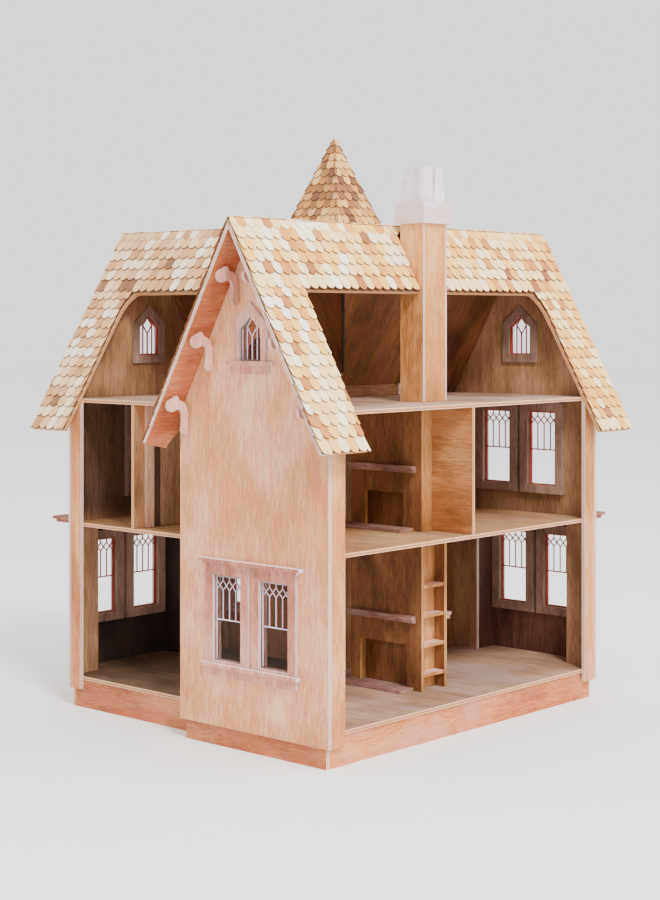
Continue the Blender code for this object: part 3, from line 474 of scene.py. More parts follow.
class Wall:
    """A wall's own axes: s along it, z up and n out from its outer face."""

    def __init__(self, x, y, along, out):
        self.x = x
        self.y = y
        self.along = along
        self.out = out

    def point(self, s, z, n):
        return (self.x + s * self.along[0] + n * self.out[0],
                self.y + s * self.along[1] + n * self.out[1], z)

    def plate(self, build, outline, n0, n1):
        """A flat piece on the wall, from an outline in s and z."""
        build.solid([self.point(s, z, n0) for s, z in outline],
                    [self.point(s, z, n1) for s, z in outline])

    def board(self, build, s0, s1, z0, z1, n0, n1):
        self.plate(build, [(s0, z0), (s1, z0), (s1, z1), (s0, z1)], n0, n1)

    def shelf(self, build, s0, s1, z0, z1, reach, radius):
        """A ledge with rounded outer corners."""
        outline = [(s0, 0.0)]
        for centre, angles in ((s0 + radius, (180, 90)), (s1 - radius, (90, 0))):
            for k in range(6):
                a = math.radians(angles[0] + (angles[1] - angles[0]) * k / 5)
                outline.append((centre + radius * math.cos(a),
                                reach - radius + radius * math.sin(a)))
        outline.append((s1, 0.0))
        build.solid([self.point(s, z0, n) for s, n in outline],
                    [self.point(s, z1, n) for s, n in outline])

    def strip(self, build, a, b, width, n0, n1):
        """A thin bar from a to b, both in s and z."""
        start = Vector(a)
        end = Vector(b)
        side = (end - start).normalized()
        side = Vector((-side.y, side.x)) * (width / 2)
        self.plate(build, [start - side, end - side, end + side, start + side], n0, n1)

    def ring(self, build, outer, inner, n0, n1):
        """A frame between two matching outlines, in separate boards."""
        for i in range(len(outer)):
            j = (i + 1) % len(outer)
            self.plate(build, [outer[i], outer[j], inner[j], inner[i]], n0, n1)


# ---- windows ----

SASH_W = 31.2
SASH_H = 69.0
STILE = 8.7
SPACE = 3.3
HEAD = 8.0
TRIM = 2.4
THIN_TRIM = {"trim": 1.2, "ledge": 1.7}    # beside the front door, which swings past it
MUNTIN = 33.0
LOW_SILL = 73.0
HIGH_SILL = 190.0
WINDOW_C_SHIFT = 5.0
INNER_TRIM = 4.2
WINDOW_PARTS = ("outside", "inside", "liner", "panes", "bars_out", "bars_in")


def lattice(wall, build, centre, foot, n0, n1, fine, bar):
    """Three diamonds over upright lines in the upper half, above one cross bar."""
    half = SASH_W / 2 - 1.3
    width = half * 2
    left = centre - half
    top = foot + SASH_H - 1.2
    middle = top - 7.2
    rise = 3.8

    def x(part):
        return left + width * part

    for k in range(8):
        for sign in (1, -1):
            ends = [middle + sign * rise, middle]
            if k % 2:
                ends.reverse()
            wall.strip(build, (x(k / 8), ends[0]), (x((k + 1) / 8), ends[1]), fine, n0, n1)
    for part in (0.25, 0.5, 0.75):
        wall.strip(build, (x(part), top), (x(part), middle + rise), fine, n0, n1)
        wall.strip(build, (x(part), middle - rise), (x(part), foot + MUNTIN), fine, n0, n1)
    wall.strip(build, (left, foot + MUNTIN), (left + width, foot + MUNTIN), bar, n0, n1)
    for s in (left, left + width):
        wall.strip(build, (s, foot), (s, top), bar * 0.8, n0, n1)
    for z in (foot + 0.5, top):
        wall.strip(build, (left, z), (left + width, z), bar * 0.8, n0, n1)


def sash_window(wall, centres, foot, sill=True, trim=TRIM, ledge=5.2):
    """One or two tall windows: trim on both faces, liners, panes and lattice bars."""
    half = SASH_W / 2
    top = foot + SASH_H
    made = {part: Build() for part in WINDOW_PARTS}
    outside, inside, liner, panes, bars_out, bars_in = made.values()
    for c in centres:
        a = c - half
        b = c + half
        for build, n0, n1, low in ((outside, 0.0, trim, foot - 2.0),
                                   (inside, -PLY - INNER_TRIM, -PLY, foot - 7.6)):
            wall.board(build, a - STILE, a, low, top, n0, n1)
            wall.board(build, b, b + STILE, low, top, n0, n1)
            wall.board(build, a - STILE, b + STILE, top, top + HEAD, n0, n1)
            wall.board(build, a, b, low, foot, n0, n1)
        for s0, s1, z0, z1 in ((a - 0.9, a + 1.1, foot - 0.9, top + 0.9),
                               (b - 1.1, b + 0.9, foot - 0.9, top + 0.9),
                               (a + 1.1, b - 1.1, top - 1.1, top + 0.9),
                               (a + 1.1, b - 1.1, foot - 0.9, foot + 1.1)):
            wall.board(liner, s0, s1, z0, z1, -PLY + 0.1, -0.1)
        wall.board(panes, a - 0.4, b + 0.4, foot - 0.4, top + 0.4, -1.75, -1.35)
        lattice(wall, bars_out, c, foot, -1.35, -0.85, 0.42, 0.8)
        lattice(wall, bars_in, c, foot, -2.35, -1.75, 0.7, 1.15)
    if sill:
        lo = min(centres) - half - STILE - 3.4
        hi = max(centres) + half + STILE + 3.4
        wall.shelf(outside, lo, hi, foot - 5.0, foot - 2.0, ledge, 1.2)
        wall.board(outside, lo + 3, hi - 3, foot - 12.5, foot - 5.0, 0.0, trim)
        wall.shelf(outside, lo + 1, hi - 1, top + HEAD, top + HEAD + 2.4, 4.4, 1.4)
        wall.shelf(outside, lo - 3, hi + 3, top + HEAD + 2.4, top + HEAD + 5.2, 6.2, 2.6)
    return made


def finish_window(name, wall, made, stands_for=(), stands_panes=()):
    axis = 0 if wall.out[0] else 1
    start = min(at(*wall.point(0.0, 0.0, n))[axis] for n in (0.0, TRIM))
    made["outside"].finish(name + "_trim_outside",
                           wood("wood_%s_outside" % name, *TRIM_PINK, grain="Z",
                                layer=(axis, start, TRIM * MM), edge=EDGE_TRIM),
                           stands_for=stands_for)
    made["inside"].finish(name + "_trim_inside",
                          wood("wood_%s_inside" % name, *MAUVE, grain="Z"))
    made["liner"].finish(name + "_liner", LINER_A if name.endswith("_a") else LINER, bevel=0.15)
    made["panes"].finish(name + "_panes", CLEAR, bevel=0, stands_for=stands_panes,
                         slot="clear_sheet")
    made["bars_out"].finish(name + "_bars_outside", BARS_OUT, bevel=0, slot="white_wood")
    made["bars_in"].finish(name + "_bars_inside", BARS_IN, bevel=0)


LANCET_W = 24.0
LANCET_FOOT = 311.5
LANCET_SHOULDER = 337.0
LANCET_POINT = 347.7
LANCET_TRIM = 7.6


def lancet(centre, grow, foot_grow, lift=0.0, point_grow=None):
    rise = (LANCET_POINT - LANCET_SHOULDER) / (LANCET_W / 2)
    half = LANCET_W / 2 + grow
    point = LANCET_POINT + (grow * math.hypot(1, rise) if point_grow is None else point_grow)
    shoulder = point - half * rise
    foot = LANCET_FOOT - foot_grow
    return [(centre - half, foot + lift), (centre + half, foot + lift),
            (centre + half, shoulder + lift), (centre, point + lift),
            (centre - half, shoulder + lift)]


def lancet_window(name, wall, centre, lift, stands_for=()):
    made = {part: Build() for part in WINDOW_PARTS}
    outside, inside, liner, panes, bars_out, bars_in = made.values()
    open_edge = lancet(centre, 0, 0, lift)
    wall.ring(inside, lancet(centre, LANCET_TRIM, LANCET_TRIM, lift), open_edge,
              -PLY - TRIM, -PLY)
    right_up, point = lancet(centre, LANCET_TRIM, 0.0, lift)[2:4]
    hood = 330.0 + lift
    for side in (-1, 1):
        s0 = centre + side * LANCET_W / 2
        jamb = centre + side * (LANCET_W / 2 + 5.6)
        wide = centre + side * (LANCET_W / 2 + LANCET_TRIM + 0.6)
        wall.plate(outside, [(s0, LANCET_FOOT + lift), (jamb, LANCET_FOOT + lift),
                             (jamb, hood), (s0, hood)], 0.0, TRIM)
        shoulder = right_up[1]
        inner_shoulder = open_edge[2][1]
        wall.plate(outside, [(s0, hood), (wide, hood), (wide, shoulder), (centre, point[1] + 0.6),
                             (centre, open_edge[3][1]), (s0, inner_shoulder)], 0.0, TRIM + 0.5)
    low = LANCET_FOOT + lift
    reach = LANCET_W / 2 + 13.0
    wall.shelf(outside, centre - reach, centre + reach, low - 3.4, low, 5.0, 2.2)
    wall.board(outside, centre - reach + 4, centre + reach - 4, low - 10.6, low - 3.4, 0.0, TRIM)
    wall.ring(liner, lancet(centre, 0.9, 0.9, lift), lancet(centre, -1.1, -1.1, lift),
              -PLY + 0.1, -0.1)
    wall.plate(panes, lancet(centre, 0.3, 0.3, lift), -1.75, -1.35)
    for build, n0, n1 in ((bars_out, -1.35, -0.75), (bars_in, -2.35, -1.75)):
        fork = LANCET_SHOULDER - 6.0 + lift
        wall.strip(build, (centre, low), (centre, fork), 0.9, n0, n1)
        for side in (-1, 1):
            bar = centre + side * 5.5
            rim = centre + side * (LANCET_W / 2 - 1.2)
            wall.strip(build, (centre, fork), (bar, fork + 8.0), 0.7, n0, n1)
            wall.strip(build, (bar, fork + 8.0), (centre, fork + 15.0), 0.7, n0, n1)
            wall.strip(build, (bar, low), (bar, fork + 8.0), 0.7, n0, n1)
            wall.strip(build, (rim, low), (rim, LANCET_SHOULDER + lift), 0.9, n0, n1)
    finish_window(name, wall, made, stands_for)


# ---- shingles ----

ROWS_ABOVE = 6
ROWS_BELOW = 14


def tongue(s0, s1, top0, top1, top, butt, depth, count, power):
    """A shingle's outline, round at its butt."""
    middle = (s0 + s1) / 2
    outline = [(top0, top), (s0, butt - depth)]
    for k in range(1, count):
        a = math.pi - math.pi * k / count
        outline.append((middle + (s1 - s0) / 2 * math.cos(a),
                        butt - depth + depth * math.sin(a) ** power))
    return outline + [(s1, butt - depth), (top1, top)]


class Shingles(Build):
    """Overlapping round-ended shingles with a tone, grain coordinates and dark rims of painted
    shadow.
    """

    WIDTH = 9.8
    STEP = 10.2
    LENGTH = 17.5
    THICK = 1.2

    def __init__(self):
        super().__init__()
        self.tones = []
        self.shadow_rims = []
        self.grains = []

    def piece(self, axes, s0, s1, butt, tone, length):
        """One roof shingle between s0 and s1 with its butt at that distance down the slope."""
        top = max(butt - length, 0.0)
        width = s1 - s0
        turn = rng.uniform(-0.018, 0.018)
        shift = rng.uniform(-500, 500)
        outline = tongue(s0, s1, s0, s1, top, butt, min(width * 0.48, 4.6), 8, 0.92)
        rock = rng.uniform(-0.012, 0.012)
        self.lay(outline, axes, (s0 + s1) / 2, butt, length, -1.35, shift, turn, rock)
        self.close(len(outline), [1.0] * (len(outline) - 1) + [0.0], tone)

    def lay(self, outline, axes, middle, butt, length, sink, shift, turn=0.0, rock=0.0):
        """The points of a shingle's two faces, a little turned and rocked on its slope."""
        origin, along, down, out = axes
        tilt = self.THICK / self.STEP
        top = outline[0][1]
        for lift in (0.0, self.THICK):
            for s, d in outline:
                height = sink + (d - butt + length) * tilt + lift + rock * (s - middle)
                place = origin + along * (s + turn * (d - top)) + down * d + out * height
                self.verts.append(at(*place))
                self.grains.append((s + shift, d * 0.07 + shift, lift))

    def close(self, size, shadow_rims, tone):
        """The faces of the last shingle, which has that many points on each side."""
        start = len(self.verts) - 2 * size
        self.faces.append(tuple(start + i for i in reversed(range(size))))
        self.faces.append(tuple(start + size + i for i in range(size)))
        for i in range(size):
            j = (i + 1) % size
            self.faces.append((start + i, start + j, start + size + j, start + size + i))
        # Painted shadow: the underside and the marked sides get the darker rim, the top face does
        # not.
        self.shadow_rims += [1.0, 0.0] + shadow_rims
        self.tones += [tone] * (size + 2)
        self.smooth += [False] * (size + 2)

    def slope(self, axes, cut, length, spans, tone):
        """Rows from the ridge down, whose butts line up with the cut-out's edge and the eave."""
        butts = [cut * (k + 1) / ROWS_ABOVE for k in range(ROWS_ABOVE)]
        butts += [cut + (length - cut) * (k + 1) / ROWS_BELOW for k in range(ROWS_BELOW)]
        for row, butt in enumerate(butts):
            start = butts[row - 1] if row else 0.0
            past = 2.2 if row in (ROWS_ABOVE - 1, len(butts) - 1) else 0.0
            for s0, s1, ragged0, ragged1 in spans((start + butt) / 2):
                offset = (row % 2) * self.WIDTH / 2
                edges = [s0]
                first = math.floor((s0 - offset) / self.WIDTH) + 1
                place = first * self.WIDTH + offset
                while place < s1 - 2.4:
                    if place - edges[-1] > 2.4:
                        edges.append(place + rng.uniform(-0.35, 0.35))
                    place += self.WIDTH
                edges.append(s1)
                edges[0] -= rng.uniform(0.0, 1.3) * ragged0
                edges[-1] += rng.uniform(0.0, 1.3) * ragged1
                for a, b in zip(edges, edges[1:]):
                    over = rng.uniform(-0.35, 0.5)
                    self.piece(axes, a + 0.13, b - 0.13, butt + past + over, tone((a + b) / 2),
                               min(self.LENGTH, butt))

    def finish(self, name, material, **settings):
        piece = super().finish(name, material, bevel=0, **settings)
        mesh = piece.data
        for key, values in (("tone", self.tones), ("rim", self.shadow_rims)):
            mesh.attributes.new(key, "FLOAT", "FACE").data.foreach_set("value", values)
        flat = [c for grain in self.grains for c in grain]
        mesh.attributes.new("grain", "FLOAT_VECTOR", "POINT").data.foreach_set("vector", flat)
        return piece


def roof_shingles():
    left, right = ROOF[0], ROOF[1]
    cut_a = 27.0
    cut_b = LENGTH - 18.5
    cut_c = END_Y - 14.5
    radius = 14.0
    cut_start = 187.0

    def corner(flat, cut_from, edge):
        """The cut-out's far edge, round its corner, at a plan distance from the ridge."""
        low = flat - cut_from
        if low >= radius:
            return edge
        return edge - radius + math.sqrt(max(radius ** 2 - (radius - low) ** 2, 0.0))

    def open_spans(d):
        flat = d / SLANT
        cut_from = CUT_DROP / RISE
        if flat > cut_from:
            return [(left, cut_a + 0.4, 1, 0), (corner(flat, cut_from, cut_b) - 0.4, right, 0, 1)]
        if MAIN_Y - flat < STACK[3] + 2.0:
            return [(left, STACK[0] - 0.5, 1, 0), (STACK[1] + 0.5, right, 0, 1)]
        return [(left, right, 1, 1)]

    def near_spans(d):
        return [(left, WING_X - d / SLANT * TURN, 1, 0)]

    def far_spans(d):
        flat = d / SLANT
        start = WING_X + flat * TURN
        if MAIN_Y + flat < TOWER[2] - 2:
            return [(start, right, 0, 1)]
        spans = [(TOWER_RIGHT + 0.5, right, 0, 1)]
        if start < TOWER[0] - 3:
            spans.append((start, TOWER[0] - 0.5, 0, 0))
        return spans

    def sunny(s):
        drift = 0.10 * max(0.0, min(1.0, (s - 60) / 240))
        return min(pick(((0.38, 0.0, 0.16), (0.40, 0.16, 0.36), (0.16, 0.36, 0.58),
                         (0.06, 0.58, 0.85))) + drift, 1.0)

    def tanned(_):
        return pick(((0.20, 0.0, 0.2), (0.44, 0.2, 0.45), (0.30, 0.45, 0.65), (0.06, 0.65, 0.95)))

    x = Vector((1, 0, 0))
    y = Vector((0, 1, 0))
    ridge = Vector((0, MAIN_Y, RIDGE))
    cut = CUT_DROP / RISE * SLANT
    length = (MAIN_Y - ROOF[2]) * SLANT
    main = Shingles()
    for way, spans, tone in ((-1, open_spans, sunny), (1, near_spans, tanned),
                             (1, far_spans, tanned)):
        main.slope((ridge, x, Vector((0, way, -RISE)) / SLANT,
                    Vector((0, way * RISE, 1)) / SLANT), cut, length, spans, tone)
    main.finish("main_roof_shingles", SHINGLE, stands_for=["shingles_main"],
                slot="shingle_wood")
    end = WING_ROOF[3]

    def wing_spans(d):
        flat = d / WING_SLANT
        cut_from = CUT_DROP / WING_RISE
        start = MAIN_Y + flat / TURN
        if flat <= cut_from:
            return [(start, end, 0, 1)]
        spans = [(corner(flat, cut_from, cut_c) - 0.4, end, 0, 1)]
        if start < cut_start - 3:
            spans.append((start, cut_start + 0.4, 0, 0))
        return spans

    def wing_far_spans(d):
        flat = d / WING_SLANT
        if WING_X + flat < TOWER[0] - 2:
            return [(MAIN_Y + flat / TURN, end, 0, 1)]
        return [(TOWER_FRONT + 0.5, end, 0, 1)]

    ridge = Vector((WING_X, 0, RIDGE))
    cut = CUT_DROP / WING_RISE * WING_SLANT
    length = (WING_X - WING_ROOF[0]) * WING_SLANT
    wing = Shingles()
    for way, spans in ((-1, wing_spans), (1, wing_far_spans)):
        wing.slope((ridge, y, Vector((way, 0, -WING_RISE)) / WING_SLANT,
                    Vector((way * WING_RISE, 0, 1)) / WING_SLANT), cut, length, spans, tanned)
    wing.finish("wing_roof_shingles", SHINGLE_TAN, stands_for=["shingles_wing"],
                slot="shingle_wood")


def pick(choices):
    """A random value from one of several ranges, each with its share."""
    r = rng.random()
    for share, low, high in choices:
        if r < share:
            return rng.uniform(low, high)
        r -= share
    return high


def spire():
    box = span("spire_shingles")
    half = (box[1] - box[0]) / 2
    high = box[5] - box[4]
    slant = math.hypot(half, high)
    build = Shingles()
    build.WIDTH = 8.6
    build.STEP = 7.8
    build.LENGTH = 12.5
    build.THICK = 1.0
    for ax, ay in ((1, 0), (0, 1), (-1, 0), (0, -1)):
        out = Vector((ax * high, ay * high, half)) / slant
        down = Vector((ax * half, ay * half, -high)) / slant
        axes = (Vector((TOWER_X, TOWER_Y, box[5])), Vector((-ay, ax, 0)), down, out)
        rows = round(slant / build.STEP)
        step = slant / rows
        for row in range(rows):
            butt = (row + 1) * step
            wide = half * butt / slant + 0.5
            count = max(1, round(2 * wide / build.WIDTH))
            if row < 2:
                count = 1
            shift = 0.5 if row % 2 and count > 1 else 0.0
            edges = [-wide + 2 * wide * k / count for k in range(count + 1)]
            if shift:
                width = 2 * wide / count
                edges = [-wide] + [-wide + width * (k + 0.5) for k in range(count)] + [wide]
            for a, b in zip(edges, edges[1:]):
                spire_piece(build, axes, a + 0.12, b - 0.12, butt, half / slant,
                            rng.uniform(0.05, 0.85))
    build.finish("spire_roof_shingles", SHINGLE_DARK, stands_for=["spire_shingles"],
                 slot="shingle_wood")


def spire_piece(build, axes, s0, s1, butt, spread, tone):
    """A spire shingle, narrowed at its top where it would pass the hip."""
    top = max(butt - build.LENGTH, 0.0)
    limit = top * spread + 0.2
    shift = rng.uniform(-500, 500)
    outline = tongue(s0, s1, max(-limit, min(limit, s0)), max(-limit, min(limit, s1)), top, butt,
                     min((s1 - s0) * 0.42, 3.6), 7, 1.0)
    build.lay(outline, axes, (s0 + s1) / 2, butt, build.LENGTH, -1.2, shift)
    build.close(len(outline), [1.0] * len(outline), tone)


# ---- finishes shared by several pieces ----

CREAM_STOPS = [(0.0, tint(255, 242, 226)), (0.14, tint(255, 226, 170)),
               (0.34, tint(246, 194, 106)), (0.55, tint(230, 160, 84)),
               (0.76, tint(184, 118, 72)), (1.0, tint(116, 72, 52))]
TAN_STOPS = [(0.0, tint(252, 236, 222)), (0.2, tint(244, 212, 172)),
             (0.45, tint(222, 174, 122)), (0.7, tint(176, 124, 84)),
             (1.0, tint(112, 78, 60))]
DARK_STOPS = [(0.0, tint(240, 194, 130)), (0.25, tint(216, 158, 92)),
              (0.5, tint(180, 122, 70)), (0.75, tint(132, 88, 58)),
              (1.0, tint(78, 54, 44))]
SHINGLE = shingle_wood("shingle_cream", CREAM_STOPS, tint(100, 52, 28))
SHINGLE_TAN = shingle_wood("shingle_tan", TAN_STOPS, tint(92, 50, 28))
SHINGLE_DARK = shingle_wood("shingle_spire", DARK_STOPS, tint(70, 38, 22))
LINER = wood("window_liner", *RUST, grain="Z", rough=0.6)
LINER_A = wood("window_liner_a", *MAUVE, grain="Z", rough=0.6)
CLEAR = clear_sheet("window_sheet")
BARS_OUT = wood("lattice_white", tint(190, 176, 196), tint(220, 210, 224), tint(240, 234, 242),
                grain="Z", amount=0.5)
BARS_IN = wood("lattice_rust", tint(130, 26, 18), tint(176, 52, 40), tint(196, 84, 68),
               grain="Z")


# ---- CAD boards ----

def boards():
    wing_start = CORNER[1] + MAIN_Y * 2 * MM
    middle = at(180.0, 100.0, 0.0)
    outside = (middle.x, middle.y, PINK)
    paint("gable_a", PINK, "Z", patch=ORANGE, patchy=0.45, figure=0.6, amount=1.25)
    # Painted light and shade: the inner faces of gables B and C change tone at the floors, lighter
    # in the attic and darker on the wing's middle storey, for the light each storey gets.
    paint("gable_b", GREY_BROWN, "Z", zones=((2, FLOORS[2] * MM, OLIVE),), outer=outside)
    paint("gable_c", GREY_BROWN, "Z", outer=outside,
          zones=((2, FLOORS[1] * MM, SHADED_STOREY_BROWN), (2, FLOORS[2] * MM, ATTIC_C)))
    for node in ("facade_wall_main", "facade_wall_wing", "return_wall"):
        paint(node, BROWN, "Z", outer=outside)
    # Painted shade: the bays' inner faces are dim and near black, for rooms that little light
    # reaches; their outer faces are pink.
    for letter, inner in (("b", DIM), ("c", SHADE_BLACK)):
        low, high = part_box("bay_%s_walls" % letter)
        paint("bay_%s_walls" % letter, inner, "Z", layer=None,
              outer=((low[0] + high[0]) / 2, (low[1] + high[1]) / 2, PINK))
    for node in ("wall_strip_a", "wall_strip_b", "wall_strip_c"):
        paint(node, STRIP, "Z", patch=ORANGE, patchy=0.35)
    for node in ("tower_wall_front", "tower_wall_side"):
        paint(node, PINK, "Z", patch=ORANGE, patchy=0.40)
    paint("tower_wall_inner", BROWN, "X", layer=None)
    for node, patch in (("floor_1", tint(170, 144, 140)), ("floor_2", tint(164, 122, 80)),
                        ("floor_3", tint(204, 176, 160))):
        # Painted shade: floor_1 takes dimmer tones beyond the start of the wing, for the wing room
        # that little light reaches.
        zones = ((1, wing_start, FLOOR_DIM),) if node == "floor_1" else ()
        paint(node, FLOOR_GOLD if node == "floor_2" else FLOOR, "Y", patch=patch, patchy=0.6,
              edge=EDGE_FLOOR, zones=zones)
    for node, grain in (("base_board_gable_a", "Y"), ("base_board_open_side", "X"),
                        ("base_board_wing_side", "Y"), ("base_boards_back", "X")):
        layer = "sheet" if node in ("base_board_gable_a", "base_board_open_side") else None
        tones = BASE_DIM if node in ("base_board_wing_side", "base_board_gable_a") else BASE
        stain = tint(216, 150, 128) if node == "base_board_open_side" else tint(190, 92, 54)
        paint(node, tones, grain, patch=stain, layer=layer, patchy=0.5)
    paint("tower_base", BASE, "X", layer=None)
    middles = (CORNER[0] + WING_X * MM, CORNER[1] + MAIN_Y * MM)
    for key, tones, grain in (("main_open", BROWN, "X"), ("main_near", SOFFIT, "X"),
                              ("main_far", ROOF_BROWN, "main_far"),
                              ("wing_open", OLIVE, "wing_open"),
                              ("wing_far", ROOF_BROWN, "wing_far")):
        axis, rise = (1, RISE) if key.startswith("main") else (0, WING_RISE)
        top = (RIDGE - 1.5 * math.hypot(1, rise)) * MM
        paint("roof_" + key, tones, grain, patch=tint(150, 84, 42), patchy=0.3,
              edge=EDGE_TAN, far_edge=(CORNER[0] - 0.012, EDGE_PALE),
              layer=((axis, middles[axis], rise), top, PLY * MM))
    paint("spire_boards", BROWN, "Z", layer=None)
    paint("partition_main", PARTITION, "Y", patch=tint(176, 104, 52), patchy=0.4, edge=EDGE_TAN)
    paint("partition_wing", OLIVE, "Z", patch=ORANGE, edge=EDGE_TAN)
    low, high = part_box("chimney_stack")
    paint("chimney_stack", TAN, "Z", layer=None, patch=tint(190, 112, 50), patchy=0.35,
          ends=(low[0], high[0], 2.4 * MM, 0))
    # Painted light and shade: the breasts' sides are dark as if shaded and their front faces
    # lighter as if lit.
    for node in ("chimney_breast_1", "chimney_breast_2"):
        paint(node, SHADED_DEEP, "Z", layer=None, patch=tint(132, 78, 40), patchy=0.4, front=GOLD)
    # Painted light: the bookcase's level faces take paler tones than its upright ones, as if lit
    # from above.
    paint("bookcase", GOLD, "Z", layer=None, bevel=0.3, flat=PALE)
    for node in ("mantel_1_near", "mantel_1_far", "mantel_2_near", "mantel_2_far"):
        paint(node, MANTEL, "Y", layer=None, bevel=0.2)
    for node in ("hearth_1", "hearth_2"):
        paint(node, MANTEL, "Y", layer=None)
    for node in ("chimney_pot_near", "chimney_pot_far"):
        paint(node, WHITE, "Z", layer=None, bevel=0.5)
    for side in ("far", "near"):
        for i in (1, 2, 3):
            paint("scroll_bracket_%s_%d" % (side, i), PALE, "Z", layer=None, bevel=0.55)


# ---- pieces that stand for CAD nodes ----

def windows():
    wall_a = Wall(0.0, 0.0, (0, 1), (-1, 0))
    wall_b = Wall(LENGTH, 0.0, (0, 1), (1, 0))
    wall_c = Wall(0.0, END_Y, (1, 0), (0, 1))
    bay_b = Wall(span("bay_b_walls")[1], 0.0, (0, 1), (1, 0))
    bay_c = Wall(0.0, span("bay_c_walls")[3], (1, 0), (0, 1))
    side = SASH_W / 2 + STILE + SPACE / 2
    pair_y = (MAIN_Y - side, MAIN_Y + side)
    pair_x = (BAY_C_X - side, BAY_C_X + side)
    made = sash_window(wall_a, pair_y, 70.0)
    finish_window("window_a", wall_a, made,
                  ["window_frame_a", "window_crown_a", "window_sill_a"], ["window_pane_a"])
    for name, wall, centres, foot in (
            ("window_bay_b", bay_b, pair_y, LOW_SILL), ("window_bay_c", bay_c, pair_x, LOW_SILL),
            ("window_b_upper", wall_b, pair_y, HIGH_SILL),
            ("window_c_upper", wall_c, (WING_X - WINDOW_C_SHIFT,), HIGH_SILL)):
        made = sash_window(wall, centres, foot, sill="bay" not in name)
        finish_window(name, wall, made)
    facade_main = Wall(0.0, span("facade_wall_main")[3], (1, 0), (0, 1))
    facade_wing = Wall(span("facade_wall_wing")[1], 0.0, (0, 1), (1, 0))
    tower_front = Wall(0.0, TOWER_FRONT, (1, 0), (0, 1))
    tower_side = Wall(TOWER_RIGHT, 0.0, (0, 1), (1, 0))
    main_s = (TOWER_RIGHT + LENGTH) / 2
    wing_s = (TOWER_FRONT + END_Y) / 2
    for name, wall, s, foot in (
            ("window_facade_main_lower", facade_main, main_s, LOW_SILL),
            ("window_facade_main_upper", facade_main, main_s, HIGH_SILL),
            ("window_facade_wing_lower", facade_wing, wing_s, LOW_SILL),
            ("window_facade_wing_upper", facade_wing, wing_s, HIGH_SILL),
            ("window_tower_front_upper", tower_front, TOWER_X, HIGH_SILL),
            ("window_tower_side_lower", tower_side, TOWER_Y, LOW_SILL),
            ("window_tower_side_upper", tower_side, TOWER_Y, HIGH_SILL)):
        low = THIN_TRIM if name == "window_facade_wing_lower" else {}
        made = sash_window(wall, (s,), foot, **low)
        finish_window(name, wall, made)
    lancet_window("attic_window_a", wall_a, MAIN_Y, 0.0, ["attic_window_frame_a"])
    lancet_window("attic_window_b", wall_b, MAIN_Y, 0.0)
    lancet_window("attic_window_c", wall_c, WING_X, 0.0)
    lift = span("tower_wall_front")[5] - 52.0 - LANCET_POINT
    lancet_window("tower_window_front", tower_front, TOWER_X, lift)
    lancet_window("tower_window_side", tower_side, TOWER_Y, lift)


def bay_roofs():
    for letter, axis in (("b", 0), ("c", 1)):
        x0, x1, y0, y1, z0, z1 = span("bay_%s_roof" % letter)
        build = Build()
        middle = (z0 + z1) / 2
        build.box(x0 + 2.4 * axis, x1 - 2.4, y0 + 2.4 * (1 - axis), y1 - 2.4, z0, middle)
        build.box(x0, x1, y0, y1, middle, z1)
        build.finish("bay_%s_roof_boards" % letter,
                     wood("wood_bay_roof_" + letter, tint(118, 66, 50), tint(156, 100, 80),
                          tint(188, 138, 116), grain="Y" if axis == 0 else "X"),
                     bevel=0.7, stands_for=["bay_%s_roof" % letter])


def chimney_cap():
    x0, x1, y0, y1, z0, z1 = span("chimney_cap")
    t = PLY - 0.1
    build = Build()
    build.box(x0, x0 + t, y0, y1, z0, z1)
    build.box(x1 - t, x1, y0, y1, z0, z1)
    build.box(x0 + t, x1 - t, y0 + 0.1, y0 + t, z0, z1)
    build.box(x0 + t, x1 - t, y1 - t, y1 - 0.1, z0, z1)
    build.finish("chimney_cap_boards",
                 wood("wood_chimney_cap", tint(196, 172, 176), tint(224, 204, 206),
                      tint(238, 226, 228), patch=tint(206, 176, 168), grain="X"),
                 bevel=0.5, stands_for=["chimney_cap"], slot="white_wood")


def door():
    x0, x1, y0, y1, z0, z1 = span("front_door")
    leaf = Build()
    raised = 0.9
    leaf.box(x0, x1, y0 + raised, y1 - raised, z0, z1)
    stile = 6.0
    for a, b in ((y1 - raised, y1), (y0, y0 + raised)):
        leaf.box(x0, x0 + stile, a, b, z0, z1)
        leaf.box(x1 - stile, x1, a, b, z0, z1)
        for z in (z0, z0 + 27.0, z0 + 55.0):
            leaf.box(x0 + stile, x1 - stile, a, b, z, z + 6.0)
        leaf.box(x0 + stile, x1 - stile, a, b, z1 - 7.0, z1)
        middle = (x0 + x1) / 2
        leaf.box(middle - 2.0, middle + 2.0, a, b, z0 + 6.0, z0 + 55.0)
    leaf.finish("front_door_leaf",
                wood("wood_front_door", tint(150, 96, 68), tint(190, 138, 106),
                     tint(214, 170, 140), grain="Z"),
                body="door", bevel=0.3, stands_for=["front_door"])
    knob = Build()
    lock = z0 + 29.5
    knob.ball(x1 - 3.0, y1 + 0.9, lock, 1.5, 0.8)
    knob.ball(x1 - 3.0, y1 + 0.2, lock, 1.0, 0.9)
    knob.finish("front_door_knob", wood("wood_knob", *RUST, grain="Y"), body="door", bevel=0)
    wall = Wall(0.0, TOWER_FRONT, (1, 0), (0, 1))
    casing = Build()
    half = 19.5
    top = z1 + 1.2
    for side in (-1, 1):
        s = TOWER_X + side * half
        wall.board(casing, min(s, s + side * 6.5), max(s, s + side * 6.5), FLOORS[0], top,
                   0.2, TRIM)
    wall.board(casing, TOWER_X - half - 8.5, TOWER_X + half + 8.5, top, top + 7.5, 0.2, TRIM)
    wall.shelf(casing, TOWER_X - half - 11, TOWER_X + half + 11, top + 7.5, top + 10.0, 5.0, 2.0)
    casing.finish("front_door_casing", wood("wood_door_casing", *PALE, grain="Z"))


